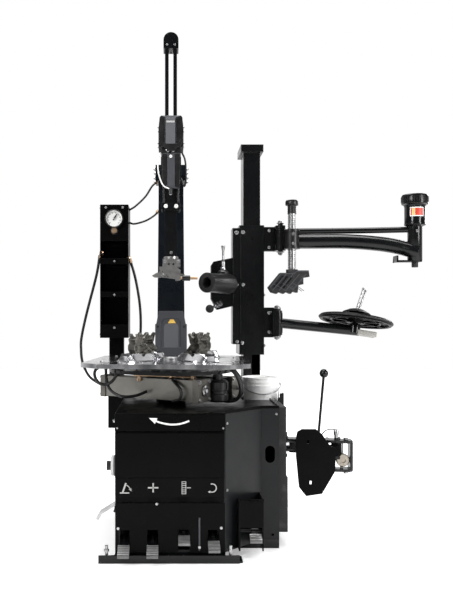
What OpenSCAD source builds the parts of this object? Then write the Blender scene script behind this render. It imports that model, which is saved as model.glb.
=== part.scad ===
// Tilt-back tyre changer with a turntable, bead breaker, inflator and assist tower.
// Millimetres. +X is right, +Y is to the back, +Z is up.
// The origin is on the floor, under the spin axis of the turntable.

/* [Cabinet] */
// Distance from the spin axis to the left wall
left_w = 205; // [200:1:212]
// Distance from the spin axis to the outer right wall
right_w = 420; // [416:1:424]
// Distance from the spin axis to the front wall
front_d = 350; // [346:1:352]
// Distance from the spin axis to the rear wall
rear_d = 310; // [300:1:312]
// Height of the top deck
deck_z = 545; // [543:1:548]
// Thickness of the sheet metal
sheet_t = 3; // [2:0.5:3]
// Height of the welded base rails
rail_h = 34; // [30:1:34]

/* [Turntable] */
// Height of the top of the turntable plate
plate_z = 720; // [718:1:722]
// Thickness of the turntable plate
plate_t = 17; // [14:1:18]
// Distance across the flats of the turntable plate
plate_w = 650; // [640:2:656]
// Length cut off each corner, along the side
corner_cut = 76; // [60:1:90]
// Angle of the turntable at rest
plate_turn = -5.5; // [-10:0.5:10]
// Width of a jaw slide
slide_w = 52; // [44:1:56]

/* [Column] */
// Distance from the spin axis to the front of the column
column_y = 425; // [420:1:430]
// Depth of the column
column_d = 120; // [110:1:124]
// Width of the column at its foot
column_w = 136; // [126:1:136]
// Height of the tilt pivot
tilt_z = 500; // [490:1:505]

/* [Tool bar] */
// Width of the square vertical bar
bar_w = 51; // [45:0.5:52]
// Distance from the spin axis back to the vertical bar
bar_y = 100; // [90:1:110]
// Height of the top of the bar, under its cap
bar_top = 2050; // [2000:5:2100]
// Height of the bottom of the bar
bar_foot = 1154; // [1150:1:1160]

/* [Assist tower] */
// Left side of the tower post
post_x = 340; // [338:1:342]
// Width of the tower post
post_w = 80; // [70:1:80]
// Height of the tower post
post_top = 1669; // [1600:1:1700]

/* [Hidden] */
$fn = 48;
fit = 0.05;                       // radial running clearance of a pin in its bore
front_w = 200;                    // from the spin axis to the right end of the front panel
step_y = 198;                     // front face of the right-hand flare, in front of the axis
chamfer = front_w + front_d;      // x - y along the sloping front wall
shell_top = deck_z - 4;           // the deck sheet lies on the shell
plate_bottom = plate_z - plate_t;
jaw_turn = 39.5;                  // direction of the first jaw slide
pin_r = 140;                      // radius of a jaw's cam pin at rest
cam_rise = 1.2;                   // jaw travel per degree of the cam plate
cam_z = [plate_bottom - 31, plate_bottom - 17];
cyl_z = plate_z - 110;            // axis height of the jaw cylinders
cyl_turn = -32.7;                 // direction of the jaw cylinders
cyl_off = 98;                     // distance of a jaw cylinder's axis from the spin axis
tray_x = [303, 478];               // bucket tray
tray_y = [60, 240];
tray_z = 520;
worm_y = 90;
worm_z = 440;
motor_z = 150;
belt_x = [157, 183];
pulley_r = 90;
motor_pulley_r = 35;
pedal_y = -230;                   // pivot line of the front pedals
pedal_z = 120;
pedal_x = [-172, -67, 47, 155];
side_pedal_at = [312, -305, 100];
filler_at = [-170, 192];          // x and z of the inflation pedal's pivot
switch_at = [-290, 340];          // y and z of the power switch
anchor = [[-236, -335], [240, -335], [-236, 345], [240, 345]];
anchor_d = 14;
stud = [[-236, -358], [218, -358]];
stud_r = 6;
tilt_y = 500;
lever_y = tilt_y + 100;           // pin of the tilt rod, behind the pivot
arm_z = [1500, 1580];             // horizontal arm
arm_w = 80;
top_z = [1471, 1614];             // column head
gauge_x = -261;
gauge_z = 1347;
button_z = 1293;
box_y = 330;                      // front of the inflator box
post_y = 400;
post_d = 120;
carriage_y = 385;                 // front of the carriage
sleeve_front = [159, 180, 1047];  // guide sleeve, from its open end to the carriage
sleeve_end = [276, 330, 1047];
sleeve_dir = (sleeve_end - sleeve_front) / norm(sleeve_end - sleeve_front);
press_pivot = [506, 340];
rod_at = [552, 300];              // vertical press rod
lower_pivot = [490, 340];
disc_at = [853, 340, 880];
disc_tilt = [-7, 9, 0];
breaker_at = [500, 290];
breaker_z = [286, 347];
lug_z = [306, 326];
lug_r = 80;
breaker_turn = -12;
yoke_at = 245;                    // paddle pin along the breaker arm
yoke_side = -34;
dark = [0.07, 0.075, 0.08];
black = [0.04, 0.04, 0.045];
steel = [0.72, 0.73, 0.75];
grey = [0.3, 0.31, 0.32];

// A box between two x, two y and two z values
module block(x, y, z) {
  translate([x[0], y[0], z[0]]) cube([x[1] - x[0], y[1] - y[0], z[1] - z[0]]);
}

// Round bars along one axis
module along_x(x, y, z, r) {
  translate([x[0], y, z]) rotate([0, 90, 0]) cylinder(h = x[1] - x[0], r = r);
}

module along_y(x, y, z, r) {
  translate([x, y[0], z]) rotate([-90, 0, 0]) cylinder(h = y[1] - y[0], r = r);
}

module along_z(x, y, z, r) {
  translate([x, y, z[0]]) cylinder(h = z[1] - z[0], r = r);
}

// A round bar from point p to point q
module between(p, q, r) {
  v = q - p;
  translate(p) rotate([0, acos(v[2] / norm(v)), atan2(v[1], v[0])]) cylinder(h = norm(v), r = r);
}

// Outlines drawn in y and z, or in x and z, and given a thickness
module plate_x(x, points) {
  translate([x[0], 0, 0]) rotate([90, 0, 90]) linear_extrude(x[1] - x[0]) polygon(points);
}

module plate_y(y, points) {
  translate([0, y[1], 0]) rotate([90, 0, 0]) linear_extrude(y[1] - y[0]) polygon(points);
}

// A hexagon head along z
module hex_head(x, y, z, r) {
  translate([x, y, z[0]]) cylinder(h = z[1] - z[0], r = r, $fn = 6);
}

// The plan of the cabinet, drawn in by t on every wall
function cabinet_plan(t) = [
  [-left_w + t, -front_d + t],
  [front_w - 0.414 * t, -front_d + t],
  [chamfer - step_y - 0.414 * t, -step_y + t],
  [right_w - t, -step_y + t],
  [right_w - t, rear_d - t],
  [-left_w + t, rear_d - t]
];

// ---------- Fixed machine ----------

module base_frame() {
  color(black) difference() {
    union() {
      block([-264, 262], [-369, -310], [0, 8]);
      block([-264, 250], [-375, -369], [0, 30]);
      block([-264, 262], [rear_d + 5, 378], [0, 8]);
      block([-264, 262], [372, 378], [0, 30]);
      block([-left_w, -165], [-369, 372], [0, rail_h]);
      block([160, 200], [-348, 372], [0, rail_h]);
      block([-165, 160], [-348, -310], [0, rail_h]);
      block([-165, 160], [60, 120], [0, rail_h]);
      block([-165, 160], [-30, 60], [0, 8]);
      block([200, right_w], [-step_y, -160], [0, rail_h]);
      block([380, right_w], [-160, 378], [0, rail_h]);
      block([200, 380], [rear_d - 40, rear_d], [0, rail_h]);
      block([post_x - 30, post_x + post_w + 30], [378, 560], [0, 10]);
      block([-60, 60], [378, 660], [0, 10]);
    }
    for (p = anchor) along_z(p[0], p[1], [-1, 9], anchor_d / 2);
    for (p = stud) along_z(p[0], p[1], [-1, 9], stud_r + fit);
  }
}

module breaker_bracket() {
  for (z = [breaker_z[0] - 24, breaker_z[1] + 6]) {
    block([right_w, breaker_at[0]], [breaker_at[1] - 32, breaker_at[1] + 20], [z, z + 18]);
    along_z(breaker_at[0], breaker_at[1], [z, z + 18], 30);
  }
  along_z(breaker_at[0], breaker_at[1], [breaker_z[0] - 32, breaker_z[1] + 32], 15);
}

module cabinet_shell() {
  inside = sheet_t;
  color(dark) {
    difference() {
      translate([0, 0, rail_h]) linear_extrude(shell_top - rail_h) polygon(cabinet_plan(0));
      translate([0, 0, rail_h - 1]) linear_extrude(shell_top) polygon(cabinet_plan(inside));
      block([-188, 184], [-front_d - 1, -front_d + 6], [42, 520]);
      // hand hole and a small hole in the front of the flare
      for (z = [350, 378]) along_y(384, [-step_y - 5, -step_y + 8], z, 19);
      block([365, 403], [-step_y - 5, -step_y + 8], [350, 378]);
      along_y(394, [-step_y - 5, -step_y + 8], 52, 5);
      // switch shaft, inflation pedal and breaker rod
      along_x([-left_w - 5, -left_w + 8], switch_at[0], switch_at[1], 9);
      block([-left_w - 5, -left_w + 8], [-268, -222], [150, 235]);
      along_x([right_w - 8, right_w + 5], breaker_at[1] - lug_r, 316, 17);
      // notch for the bucket tray
      block([right_w - 8, right_w + 5], tray_y, [tray_z - sheet_t, deck_z]);
    }
    // bucket tray
    difference() {
      block(tray_x, tray_y, [tray_z - sheet_t, tray_z + 53]);
      block([tray_x[0] + 3, tray_x[1] - 3], [tray_y[0] + 3, tray_y[1] - 3], [tray_z, 600]);
      block([tray_x[0] - 1, right_w + 40], [tray_y[0] - 1, tray_y[1] + 1], [shell_top, 600]);
      block([tray_x[0] - 1, 600], [tray_y[0] + 40, tray_y[1] - 40], [shell_top, 600]);
    }
    breaker_bracket();
    // pivot of the inflation pedal
    along_y(filler_at[0], [-277, -213], filler_at[1], 6);
    for (y = [-277, -217]) block([-left_w + sheet_t - 1, filler_at[0] + 8], [y, y + 4], [184, 200]);
  }
}

module front_cover() {
  y0 = -front_d;
  skin = [[y0 - 3, 480], [y0 - 16, 480], [y0 - 23, 473], [y0 - 24, 314], [y0 - 19, 308],
          [y0 - 19, 242], [y0 - 5, 217], [y0, 217]];
  core = [[y0, 477], [y0 - 15, 477], [y0 - 20, 472], [y0 - 21, 315], [y0 - 16, 309],
          [y0 - 16, 243], [y0 - 4, 220], [y0, 220]];
  color(dark) {
    difference() {
      plate_x([-left_w + 1, front_w - 6], concat([[y0, 480]], skin));
      plate_x([-left_w + 4, front_w - 9], concat([[y0 + 1, 477]], core));
    }
  }
}

module pedal_panel() {
  y0 = -front_d;
  color(dark) {
    difference() {
      block([-left_w + 1, front_w - 2], [y0 - 3, y0], [rail_h + 2, 215]);
      for (x = pedal_x) block([x - 20, x + 20], [y0 - 5, y0 + 5], [rail_h + 1, 116]);
    }
    block([101, 107], [y0 - 9, y0 - 3], [42, 162]);
  }
}

module top_deck() {
  y0 = -front_d;
  fold = [[y0 - 20, deck_z - 6], [y0 - 17, deck_z - 1], [y0 - 14, deck_z], [y0 - 5, deck_z],
          [y0 - 5, shell_top], [y0 - 14, shell_top], [y0 - 17, deck_z - 8],
          [y0 - 18, 484], [y0 - 6, 484], [y0 - 6, 481], [y0 - 21, 481]];
  color(dark) {
    difference() {
      translate([0, 0, shell_top]) linear_extrude(deck_z - shell_top) polygon(cabinet_plan(0));
      along_z(0, 0, [shell_top - 1, deck_z + 1], 30);
      block([tray_x[0] - 1, right_w + 1], [tray_y[0] - 1, tray_y[1] + 1], [shell_top - 1, 560]);
    }
    block([-left_w, front_w], [y0 - 5, y0], [shell_top, deck_z]);
    plate_x([-left_w, front_w - 2], fold);
    // folded rim along the flare
    difference() {
      translate([0, 0, deck_z]) linear_extrude(8) polygon(cabinet_plan(0));
      translate([0, 0, deck_z - 1]) linear_extrude(12) polygon(cabinet_plan(4));
      block([-left_w - 1, front_w], [-front_d - 1, rear_d + 1], [deck_z - 1, 560]);
      block([tray_x[0] - 1, right_w + 1], [tray_y[0] - 1, tray_y[1] + 1], [deck_z - 1, 560]);
    }
    // neck around the turntable shaft
    difference() {
      along_z(0, 0, [deck_z, deck_z + 20], 62);
      along_z(0, 0, [deck_z - 1, deck_z + 21], 30);
    }
  }
}

module panel_screw(x, y, z) {
  along_y(x, [y - 3, y], z, 5);
}

module chassis_fasteners() {
  y0 = -front_d - 3;
  color(steel) {
    for (p = stud) {
      along_z(p[0], p[1], [0, 62], stud_r);
      hex_head(p[0], p[1], [8, 20], 11);
      hex_head(p[0], p[1], [40, 48], 10);
    }
    panel_screw(-194, y0, 122);
    panel_screw(184, y0, 124);
    panel_screw(104, y0 - 6, 55);
  }
}

module pedal_guard() {
  x0 = 250;
  x1 = 342;
  plan = [[x0, -340], [x1, -340], [x1, x1 - chamfer], [x0, x0 - chamfer]];
  inner = [[x0 + 3, -337], [x1 - 3, -337], [x1 - 3, x1 - 3 - chamfer + 4], [x0 + 3, x0 + 3 - chamfer + 4]];
  color(dark) {
    difference() {
      translate([0, 0, rail_h]) linear_extrude(186) polygon(plan);
      translate([0, 0, rail_h - 1]) linear_extrude(200) polygon(inner);
      block([x0 + 6, x1 - 6], [-345, -330], [rail_h - 1, 120]);
    }
    plate_x([x0 + 40, x1], [[-337, 214], [-337, 220], [-347, 228], [-352, 227], [-352, 224], [-347, 225]]);
    along_x([x0, x1], side_pedal_at[1], side_pedal_at[2], 5);
  }
}

module wheel_rest_pad() {
  color(black) difference() {
    union() {
      block([right_w, right_w + 38], [-step_y + 30, 40], [53, 270]);
      block([right_w, right_w + 32], [-step_y + 30, 40], [270, 543]);
    }
    for (z = [80:28:500]) block([right_w + 26, right_w + 40], [-step_y + 44, 26], [z, z + 8]);
  }
}

module drive_motor() {
  color(grey) difference() {
    union() {
      along_x([-90, 130], worm_y, motor_z, 72);
      along_x([-112, -90], worm_y, motor_z, 66);
      along_x([130, 140], worm_y, motor_z, 45);
      block([-50, 90], [worm_y - 55, worm_y + 55], [rail_h, 90]);
      block([-20, 60], [worm_y - 30, worm_y + 30], [215, 245]);
    }
    along_x([60, 141], worm_y, motor_z, 12 + fit);
  }
}

module gearbox_housing() {
  color(grey) difference() {
    union() {
      along_z(0, 0, [390, shell_top], 82);
      block([-100, 100], [worm_y - 36, worm_y + 36], [worm_z - 36, worm_z + 36]);
      block([-110, 110], [-110, 126], [shell_top - 10, shell_top]);
    }
    along_z(0, 0, [380, shell_top + 1], 25 + fit);
    along_z(0, 0, [worm_z - 18, worm_z + 18], 64);
    along_x([-72, 72], worm_y, worm_z, 31);
    along_x([-101, 101], worm_y, worm_z, 12 + fit);
  }
}

module drive_belt() {
  r1 = pulley_r - 6;
  r2 = motor_pulley_r - 6;
  color(black) translate([belt_x[0] + 8, 0, 0]) rotate([90, 0, 90]) linear_extrude(10) difference() {
    hull() {
      translate([worm_y, worm_z]) circle(r = r1 + 8, $fn = 64);
      translate([worm_y, motor_z]) circle(r = r2 + 8, $fn = 64);
    }
    hull() {
      translate([worm_y, worm_z]) circle(r = r1 + 0.4, $fn = 64);
      translate([worm_y, motor_z]) circle(r = r2 + 0.4, $fn = 64);
    }
  }
}

module breaker_cylinder() {
  y = breaker_at[1] - lug_r;
  color(grey) difference() {
    union() {
      along_x([196, 372], y, 316, 90);
      along_x([190, 200], y, 316, 93);
      along_x([366, 378], y, 316, 93);
      along_x([378, 412], y, 316, 24);
      block([200, 220], [y - 40, rear_d - sheet_t], [220, 300]);
    }
    along_x([202, 364], y, 316, 86);
    along_x([300, 420], y, 316, 14 + fit);
  }
}

module control_units() {
  color(grey) {
    for (x = pedal_x) {
      block([x - 17, x + 17], [-190, -120], [60, 104]);
      along_y(x, [-120, -96], 82, 9);
    }
    block([-left_w + 4, 196], [-150, -140], [36, 60]);
    along_x([-left_w + 3, 196], pedal_y, pedal_z, 6);
    block([-60, 60], [-120, -90], [60, 104]);
    // fixed disc of the power switch
    difference() {
      along_x([-left_w - 18, -left_w], switch_at[0], switch_at[1], 38);
      along_x([-left_w - 20, -left_w + 1], switch_at[0], switch_at[1], 8 + fit);
    }
  }
}

module tilt_bracket() {
  cheek = [[rear_d, 395], [rear_d, 536], [400, 545], [535, 535], [540, 470], [420, 395]];
  color(dark) {
    for (x = [-88, 76]) plate_x([x, x + 12], cheek);
    block([-110, 110], [rear_d, rear_d + 8], [392, 538]);
    along_x([-96, 96], tilt_y, tilt_z, 15);
  }
}

module tilt_cylinder() {
  color(grey) difference() {
    union() {
      along_z(0, lever_y, [26, 372], 40);
      block([-46, 46], [lever_y - 46, lever_y + 46], [10, 30]);
      block([-44, 44], [lever_y - 44, lever_y + 44], [360, 384]);
    }
    along_z(0, lever_y, [34, 356], 35);
    along_z(0, lever_y, [350, 390], 12.5 + fit);
  }
}

module inflator_box() {
  x0 = -327;
  x1 = -196;
  y1 = box_y + 150;
  color(dark) {
    difference() {
      block([x0, x1], [box_y, y1], [799, 1414]);
      for (z = [[1166, 1246], [1012, 1140], [860, 987]]) {
        block([x0 + 4, x1 - 4], [box_y + 4, y1 - 4], [z[0] - 22, z[1]]);
        block([x0 + 4, x1 - 4], [box_y - 1, y1 - 4], [z[0], z[1]]);
      }
      block([x0 + 4, x1 - 4], [box_y + 4, y1 - 4], [1254, 1410]);
      along_y(gauge_x, [box_y - 1, box_y + 5], button_z, 13 + fit);
    }
    // post and the plate that ties it to the cabinet
    block([-288, -220], [372, 412], [387, 799]);
    block([-288, -left_w], [rear_d, rear_d + 6], [387, 558]);
    block([-288, -220], [rear_d + 6, 372], [420, 540]);
  }
}

module pressure_gauge() {
  color("white") {
    difference() {
      along_y(gauge_x, [box_y - 20, box_y], gauge_z, 41);
      along_y(gauge_x, [box_y - 21, box_y - 9], gauge_z, 36);
    }
    along_y(gauge_x, [box_y - 18, box_y - 9], gauge_z, 2);
  }
}

module gauge_needle() {
  reach = 28;
  color(black) difference() {
    translate([gauge_x, 0, gauge_z]) rotate([0, 32, 0]) plate_y([box_y - 16, box_y - 14],
      [[-2, -9], [2, -9], [4, 0], [1, reach], [-1, reach], [-4, 0]]);
    along_y(gauge_x, [box_y - 17, box_y - 13], gauge_z, 2 + fit);
  }
}

module deflate_button() {
  color("khaki") {
    along_y(gauge_x, [box_y - 12, box_y + 14], button_z, 13);
  }
}

// A bent hose through the given points
module hose(points, r) {
  for (i = [0:len(points) - 2]) hull() {
    translate(points[i]) sphere(r = r, $fn = 10);
    translate(points[i + 1]) sphere(r = r, $fn = 10);
  }
}

module air_hoses() {
  color(black) {
    // supply line behind the inflator post, down to the cabinet
    hose([[-188, 420, 830], [-184, 432, 700], [-178, 420, 560], [-172, 345, 470], [-172, 320, 450]], 6);
    // filler hose hanging to the left of the box
    hose([[-335, 395, 1185], [-356, 400, 1069], [-398, 405, 909], [-421, 405, 801], [-423, 400, 745],
          [-415, 400, 680], [-380, 410, 610], [-300, 425, 560]], 6);
  }
}

module assist_post() {
  x1 = post_x + post_w;
  y1 = post_y + post_d;
  color(black) {
    difference() {
      block([post_x, x1], [post_y, y1], [10, post_top]);
      block([post_x + 6, x1 - 6], [post_y + 6, y1 - 6], [9, post_top + 1]);
    }
    block([post_x - 24, x1 + 24], [post_y - 14, y1 + 30], [10, 24]);
    block([post_x - 13, x1 + 13], [post_y - 20, y1 + 40], [post_top, post_top + 34]);
    for (z = [120, 480]) block([post_x, x1 - 4], [rear_d, post_y], [z, z + 50]);
  }
}

module lube_bucket() {
  x = 391;
  y = 150;
  color("whitesmoke") rotate_extrude_at(x, y) polygon([
    [0, tray_z], [72, tray_z], [79, 600], [82, 600], [82, 604], [79.5, 604], [80, 616], [82.5, 616],
    [82.5, 620], [80.3, 620], [81, 632], [83, 632], [83, 636], [78.5, 636], [70, tray_z + 4],
    [0, tray_z + 4]]);
}

module rotate_extrude_at(x, y) {
  translate([x, y, 0]) rotate_extrude() children();
}

// ---------- Controls ----------

module power_switch() {
  color(black) {
    along_x([-left_w - 28, -left_w - 18], switch_at[0], switch_at[1], 17);
    block([-left_w - 36, -left_w - 26], [switch_at[0] - 5, switch_at[0] + 5],
      [switch_at[1] - 17, switch_at[1] + 17]);
    along_x([-left_w - 20, -left_w + 12], switch_at[0], switch_at[1], 8);
  }
}

// A pedal that hangs from the pivot shaft, drooping by the given angle
module front_pedal(x, droop) {
  translate([x, pedal_y, pedal_z]) rotate([droop, 0, 0]) {
    difference() {
      union() {
        block([-16, 16], [-150, 0], [-5, 3]);
        along_x([-16, 16], 0, 0, 12);
        block([-21, 21], [-206, -150], [-5, 5]);
        for (y = [-200:9:-155]) block([-21, 21], [y, y + 5], [5, 8]);
        // return lever on top of the bar
        block([-4, 4], [-128, -20], [3, 12]);
      }
      along_x([-30, 30], 0, 0, 6 + fit);
    }
  }
}

module pedal_tilt() {
  color(steel) front_pedal(pedal_x[0], 24);
}

module pedal_clamp() {
  color(steel) front_pedal(pedal_x[1], 24);
}

module pedal_breaker() {
  color(steel) front_pedal(pedal_x[2], 9);
}

module pedal_spin() {
  color(steel) front_pedal(pedal_x[3], 17);
}

module side_pedal() {
  color(steel) translate(side_pedal_at) rotate([26, 0, 0]) difference() {
    union() {
      block([-14, 14], [-26, 0], [-5, 3]);
      along_x([-14, 14], 0, 0, 10);
      block([-22, 22], [-62, -24], [-5, 5]);
      for (y = [-58:9:-30]) block([-22, 22], [y, y + 5], [5, 8]);
    }
    along_x([-30, 30], 0, 0, 5 + fit);
  }
}

module inflation_pedal() {
  y = [-262, -228];
  bar = [[-172, 196], [-205, 196], [-268, 158], [-284, 132], [-276, 127], [-262, 150], [-203, 187],
         [-172, 187]];
  color(steel) difference() {
    union() {
      plate_y(y, bar);
      along_y(filler_at[0], y, filler_at[1], 12);
    }
    along_y(filler_at[0], [-270, -220], filler_at[1], 6 + fit);
  }
}

// ---------- Drive ----------

module v_pulley(r) {
  rotate([0, 90, 0]) rotate_extrude() polygon([
    [0, 0], [r, 0], [r, 6], [r - 6, 8], [r - 6, 18], [r, 20], [r, 26], [0, 26]]);
}

module motor_pulley() {
  color(grey) translate([belt_x[0], worm_y, motor_z]) v_pulley(motor_pulley_r);
  color(steel) along_x([62, belt_x[0] + 4], worm_y, motor_z, 12);
}

module worm_shaft() {
  r = 28;
  n = 5;
  step = 20;
  thread = [for (i = [0:n - 1]) each [[-50 + i * step, r - 6], [-45 + i * step, r], [-35 + i * step, r]]];
  color(steel) union() {
    along_x([-98, belt_x[0] + 4], worm_y, worm_z, 12);
    translate([0, worm_y, worm_z]) rotate([0, 90, 0]) rotate_extrude()
      polygon(concat([[0, -50]], [for (p = thread) [p[1], p[0]]], [[r - 6, 50], [0, 50]]));
    translate([belt_x[0], worm_y, worm_z]) v_pulley(pulley_r);
  }
}

module turntable_shaft() {
  teeth = 40;
  wheel_r = 61.5;
  color(steel) difference() {
    union() {
      along_z(0, 0, [395, plate_bottom - fit], 25);
      along_z(0, 0, [deck_z + 26, plate_bottom - fit], 45);
      along_z(0, 0, [cyl_z + 46, cyl_z + 54], 100);
      along_z(0, 0, [worm_z - 15, worm_z + 15], wheel_r);
    }
    for (i = [0:teeth - 1]) rotate([0, 0, i * 360 / teeth])
      block([wheel_r - 5, wheel_r + 2], [-2, 2], [worm_z - 16, worm_z + 16]);
  }
}

module turntable_plate() {
  a = plate_w / 2;
  c = a - corner_cut;
  color(steel) rotate([0, 0, plate_turn]) difference() {
    union() {
      translate([0, 0, plate_bottom]) linear_extrude(plate_t)
        polygon([[a, -c], [a, c], [c, a], [-c, a], [-a, c], [-a, -c], [-c, -a], [c, -a]]);
      along_z(0, 0, [plate_z, plate_z + 4], 30);
    }
    for (i = [0:3]) rotate([0, 0, jaw_turn - plate_turn + 90 * i])
      block([70, 300], [-12.1, 12.1], [plate_bottom - 1, plate_z + 1]);
    for (i = [0:3]) rotate([0, 0, 90 * i]) along_z(0, 285, [plate_bottom - 1, plate_z + 1], 9);
  }
}

module jaw(turn) {
  hw = slide_w / 2;
  slide = [[70, plate_z + 0.2], [238, plate_z + 0.2], [240, 736], [234, 751], [108, 751], [82, 742],
           [70, 730]];
  claw = [[115, 751], [123, 764], [137, 776], [151, 790], [143, 800], [147, 818], [161, 812], [171, 803],
          [181, 812], [193, 818], [203, 806], [195, 796], [205, 782], [205, 766], [197, 751]];
  color(steel) rotate([0, 0, turn]) {
    plate_y([-hw, hw], slide);
    block([120, 200], [-12, 12], [plate_bottom - 13, plate_z + 0.3]);
    along_z(pin_r, 0, [cam_z[0] - 4, plate_bottom - 12], 8);
    difference() {
      plate_y([-hw + 4, hw - 4], claw);
      block([161, 179], [-7, 7], [790, 830]);
    }
  }
}

module jaw_1() {
  jaw(jaw_turn);
}

module jaw_2() {
  jaw(jaw_turn + 90);
}

module jaw_3() {
  jaw(jaw_turn + 180);
}

module jaw_4() {
  jaw(jaw_turn + 270);
}

// Centre line of a spiral slot: the radius grows as the plate turns under its pin
function spiral(t) = (pin_r + cam_rise * t) * [cos(-t), sin(-t)];
function spiral_side(t, w) =
  let (v = spiral(t + 0.5) - spiral(t - 0.5)) spiral(t) + w * [-v[1], v[0]] / norm(v);

module jaw_cam_plate() {
  t0 = -33;
  t1 = 83;
  n = 24;
  half = 8.5;
  ts = [for (i = [0:n]) t0 + (t1 - t0) * i / n];
  color(grey) difference() {
    along_z(0, 0, cam_z, 256);
    along_z(0, 0, [cam_z[0] - 1, cam_z[1] + 1], 45 + fit);
    for (i = [0:3]) rotate([0, 0, jaw_turn + 90 * i]) {
      translate([0, 0, cam_z[0] - 1]) linear_extrude(16)
        polygon(concat([for (t = ts) spiral_side(t, half)], [for (i = [n:-1:0]) spiral_side(ts[i], -half)]));
    }
  }
}

// A jaw cylinder with square barrel and end caps, and its rod at the left end
module clamp_cylinder() {
  rotate([0, 0, cyl_turn]) difference() {
    union() {
      block([-250, 200], [-cyl_off - 41, -cyl_off + 41], [cyl_z - 41, cyl_z + 41]);
      block([-258, -234], [-cyl_off - 46, -cyl_off + 46], [cyl_z - 45, cyl_z + 45]);
      block([190, 217], [-cyl_off - 46, -cyl_off + 46], [cyl_z - 45, cyl_z + 45]);
      for (x = [-60, 40]) block([x, x + 20], [-cyl_off, -cyl_off + 30], [cyl_z + 40, cyl_z + 46]);
      along_x([217, 221], -cyl_off, cyl_z, 22);
    }
    along_x([-232, 188], -cyl_off, cyl_z, 36);
    along_x([-265, -225], -cyl_off, cyl_z, 10 + fit);
    along_x([212, 222], -cyl_off, cyl_z, 9);
  }
}

module clamp_rod() {
  color(steel) rotate([0, 0, cyl_turn]) {
    along_x([-272, -140], -cyl_off, cyl_z, 10);
    along_x([-170, -140], -cyl_off, cyl_z, 35.95);
    block([-284, -270], [-cyl_off - 10, -cyl_off + 10], [cyl_z - 12, cyl_z + 12]);
  }
}

module clamp_cylinders() {
  color([0.57, 0.56, 0.53]) {
    clamp_cylinder();
    rotate([0, 0, 180]) clamp_cylinder();
  }
}

module clamp_rod_front() {
  clamp_rod();
}

module clamp_rod_rear() {
  rotate([0, 0, 180]) clamp_rod();
}

// ---------- Column, arm and tool bar ----------

module column_tower() {
  y1 = column_y + column_d;
  b = column_w / 2;
  t = 59;
  hw = arm_w / 2;
  color([0.04, 0.055, 0.075]) {
    difference() {
      plate_y([column_y, y1], [[-b, 440], [b, 440], [t, top_z[0]], [-t, top_z[0]]]);
      plate_y([column_y + 6, y1 - 6],
        [[-b + 6, 439], [b - 6, 439], [t - 6, top_z[0] - 20], [-t + 6, top_z[0] - 20]]);
      along_x([-80, 80], tilt_y, tilt_z, 15 + fit);
    }
    difference() {
      union() {
        block([-59, 59], [column_y - 8, y1 + 8], [top_z[0], 1540]);
        block([-73, 73], [column_y - 12, y1 + 10], [1540, top_z[1]]);
      }
      block([-hw - 0.1, hw + 0.1], [column_y - 20, y1 + 20], [arm_z[0] - 0.1, arm_z[1] + 0.1]);
      block([-44, 22], [column_y - 20, y1 + 20], [1596, top_z[1] + 1]);
    }
    // lever that the tilt rod pulls
    plate_x([-12, 12], [[y1, 450], [y1, 560], [lever_y + 8, 520], [lever_y + 18, 500], [lever_y + 8, 484]]);
    along_x([-30, 30], lever_y, tilt_z, 10);
  }
}

module column_cover() {
  z0 = 640;
  face = [[-70, z0], [70, z0], [70, 862], [58, 924], [-58, 924], [-70, 862]];
  color([0.27, 0.28, 0.3]) {
    difference() {
      plate_y([column_y - 11, column_y], face);
      plate_y([column_y - 12, column_y - 7],
        [[-46, 752], [46, 752], [46, 868], [34, 888], [-34, 888], [-46, 868]]);
    }
    plate_y([column_y - 9, column_y - 6],
      [[-34, 700], [34, 700], [34, 850], [26, 862], [-26, 862], [-34, 850]]);
    for (s = [-1, 1]) block([s * 72.5 - 2.5, s * 72.5 + 2.5], [column_y - 11, column_y + 90], [z0, 862]);
  }
}

module tilt_rod() {
  color(steel) {
    along_z(0, lever_y, [280, 456], 12.5);
    along_z(0, lever_y, [262, 282], 34.9);
    block([-32, 32], [lever_y - 24, lever_y + 24], [450, 466]);
    for (x = [-32, 16]) difference() {
      block([x, x + 16], [lever_y - 26, lever_y + 26], [460, 524]);
      block([x - 1, x + 17], [lever_y - 20, lever_y + 13], [488.5, 511.5]);
    }
  }
}

module horizontal_arm() {
  hw = arm_w / 2;
  color(black) difference() {
    block([-hw, hw], [160, 600], arm_z);
    block([-hw + 6, hw - 6], [159, 601], [arm_z[0] + 6, arm_z[1] - 6]);
  }
}

module slide_head() {
  hb = bar_w / 2 + 0.1;
  y = bar_y;
  color(dark) difference() {
    union() {
      plate_y([y - 55, y + 55], [[-53, 1612], [53, 1612], [53, 1690], [48, 1738], [42, 1745],
                                 [-42, 1745], [-48, 1738], [-53, 1690]]);
      block([-42, 42], [y - 48, y + 50], [1588, 1614]);
      block([-37, 37], [y - 46, y + 50], [1440, 1590]);
      block([-44, 44], [y + 40, 160], [1488, 1592]);
      block([-39, 39], [y - 42, y + 42], [1350, 1380]);
      for (x = [-31, 31]) along_z(x, y - 34, [1378, 1442], 4);
      for (x = [-31, 31]) along_z(x, y + 34, [1378, 1442], 4);
      block([-23, 18], [y - 59, y - 50], [1622, 1735]);
      block([-15, 15], [y - 49, y - 44], [1446, 1584]);
    }
    block([-hb, hb], [y - hb, y + hb], [1300, 1800]);
  }
}

module hex_bar() {
  h = bar_w / 2;
  y = bar_y;
  slot = 10;
  arch = [for (a = [0:15:180]) [32 * cos(a), 2073 + 32 * sin(a)]];
  color(black) {
    difference() {
      block([-h, h], [y - h, y + h], [bar_foot, bar_top]);
      block([-slot, slot], [y - h - 1, y + h + 1], [1740, 2028]);
      along_y(0, [y - h - 1, y + h + 1], 2028, slot);
      block([-h - 1, h + 1], [y - 11, y + 11], [1800, 2020]);
    }
    difference() {
      plate_y([y - 34, y + 34], concat([[32, 2036]], arch, [[-32, 2036]]));
      block([-h, h], [y - h, y + h], [2030, bar_top]);
    }
  }
}

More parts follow.
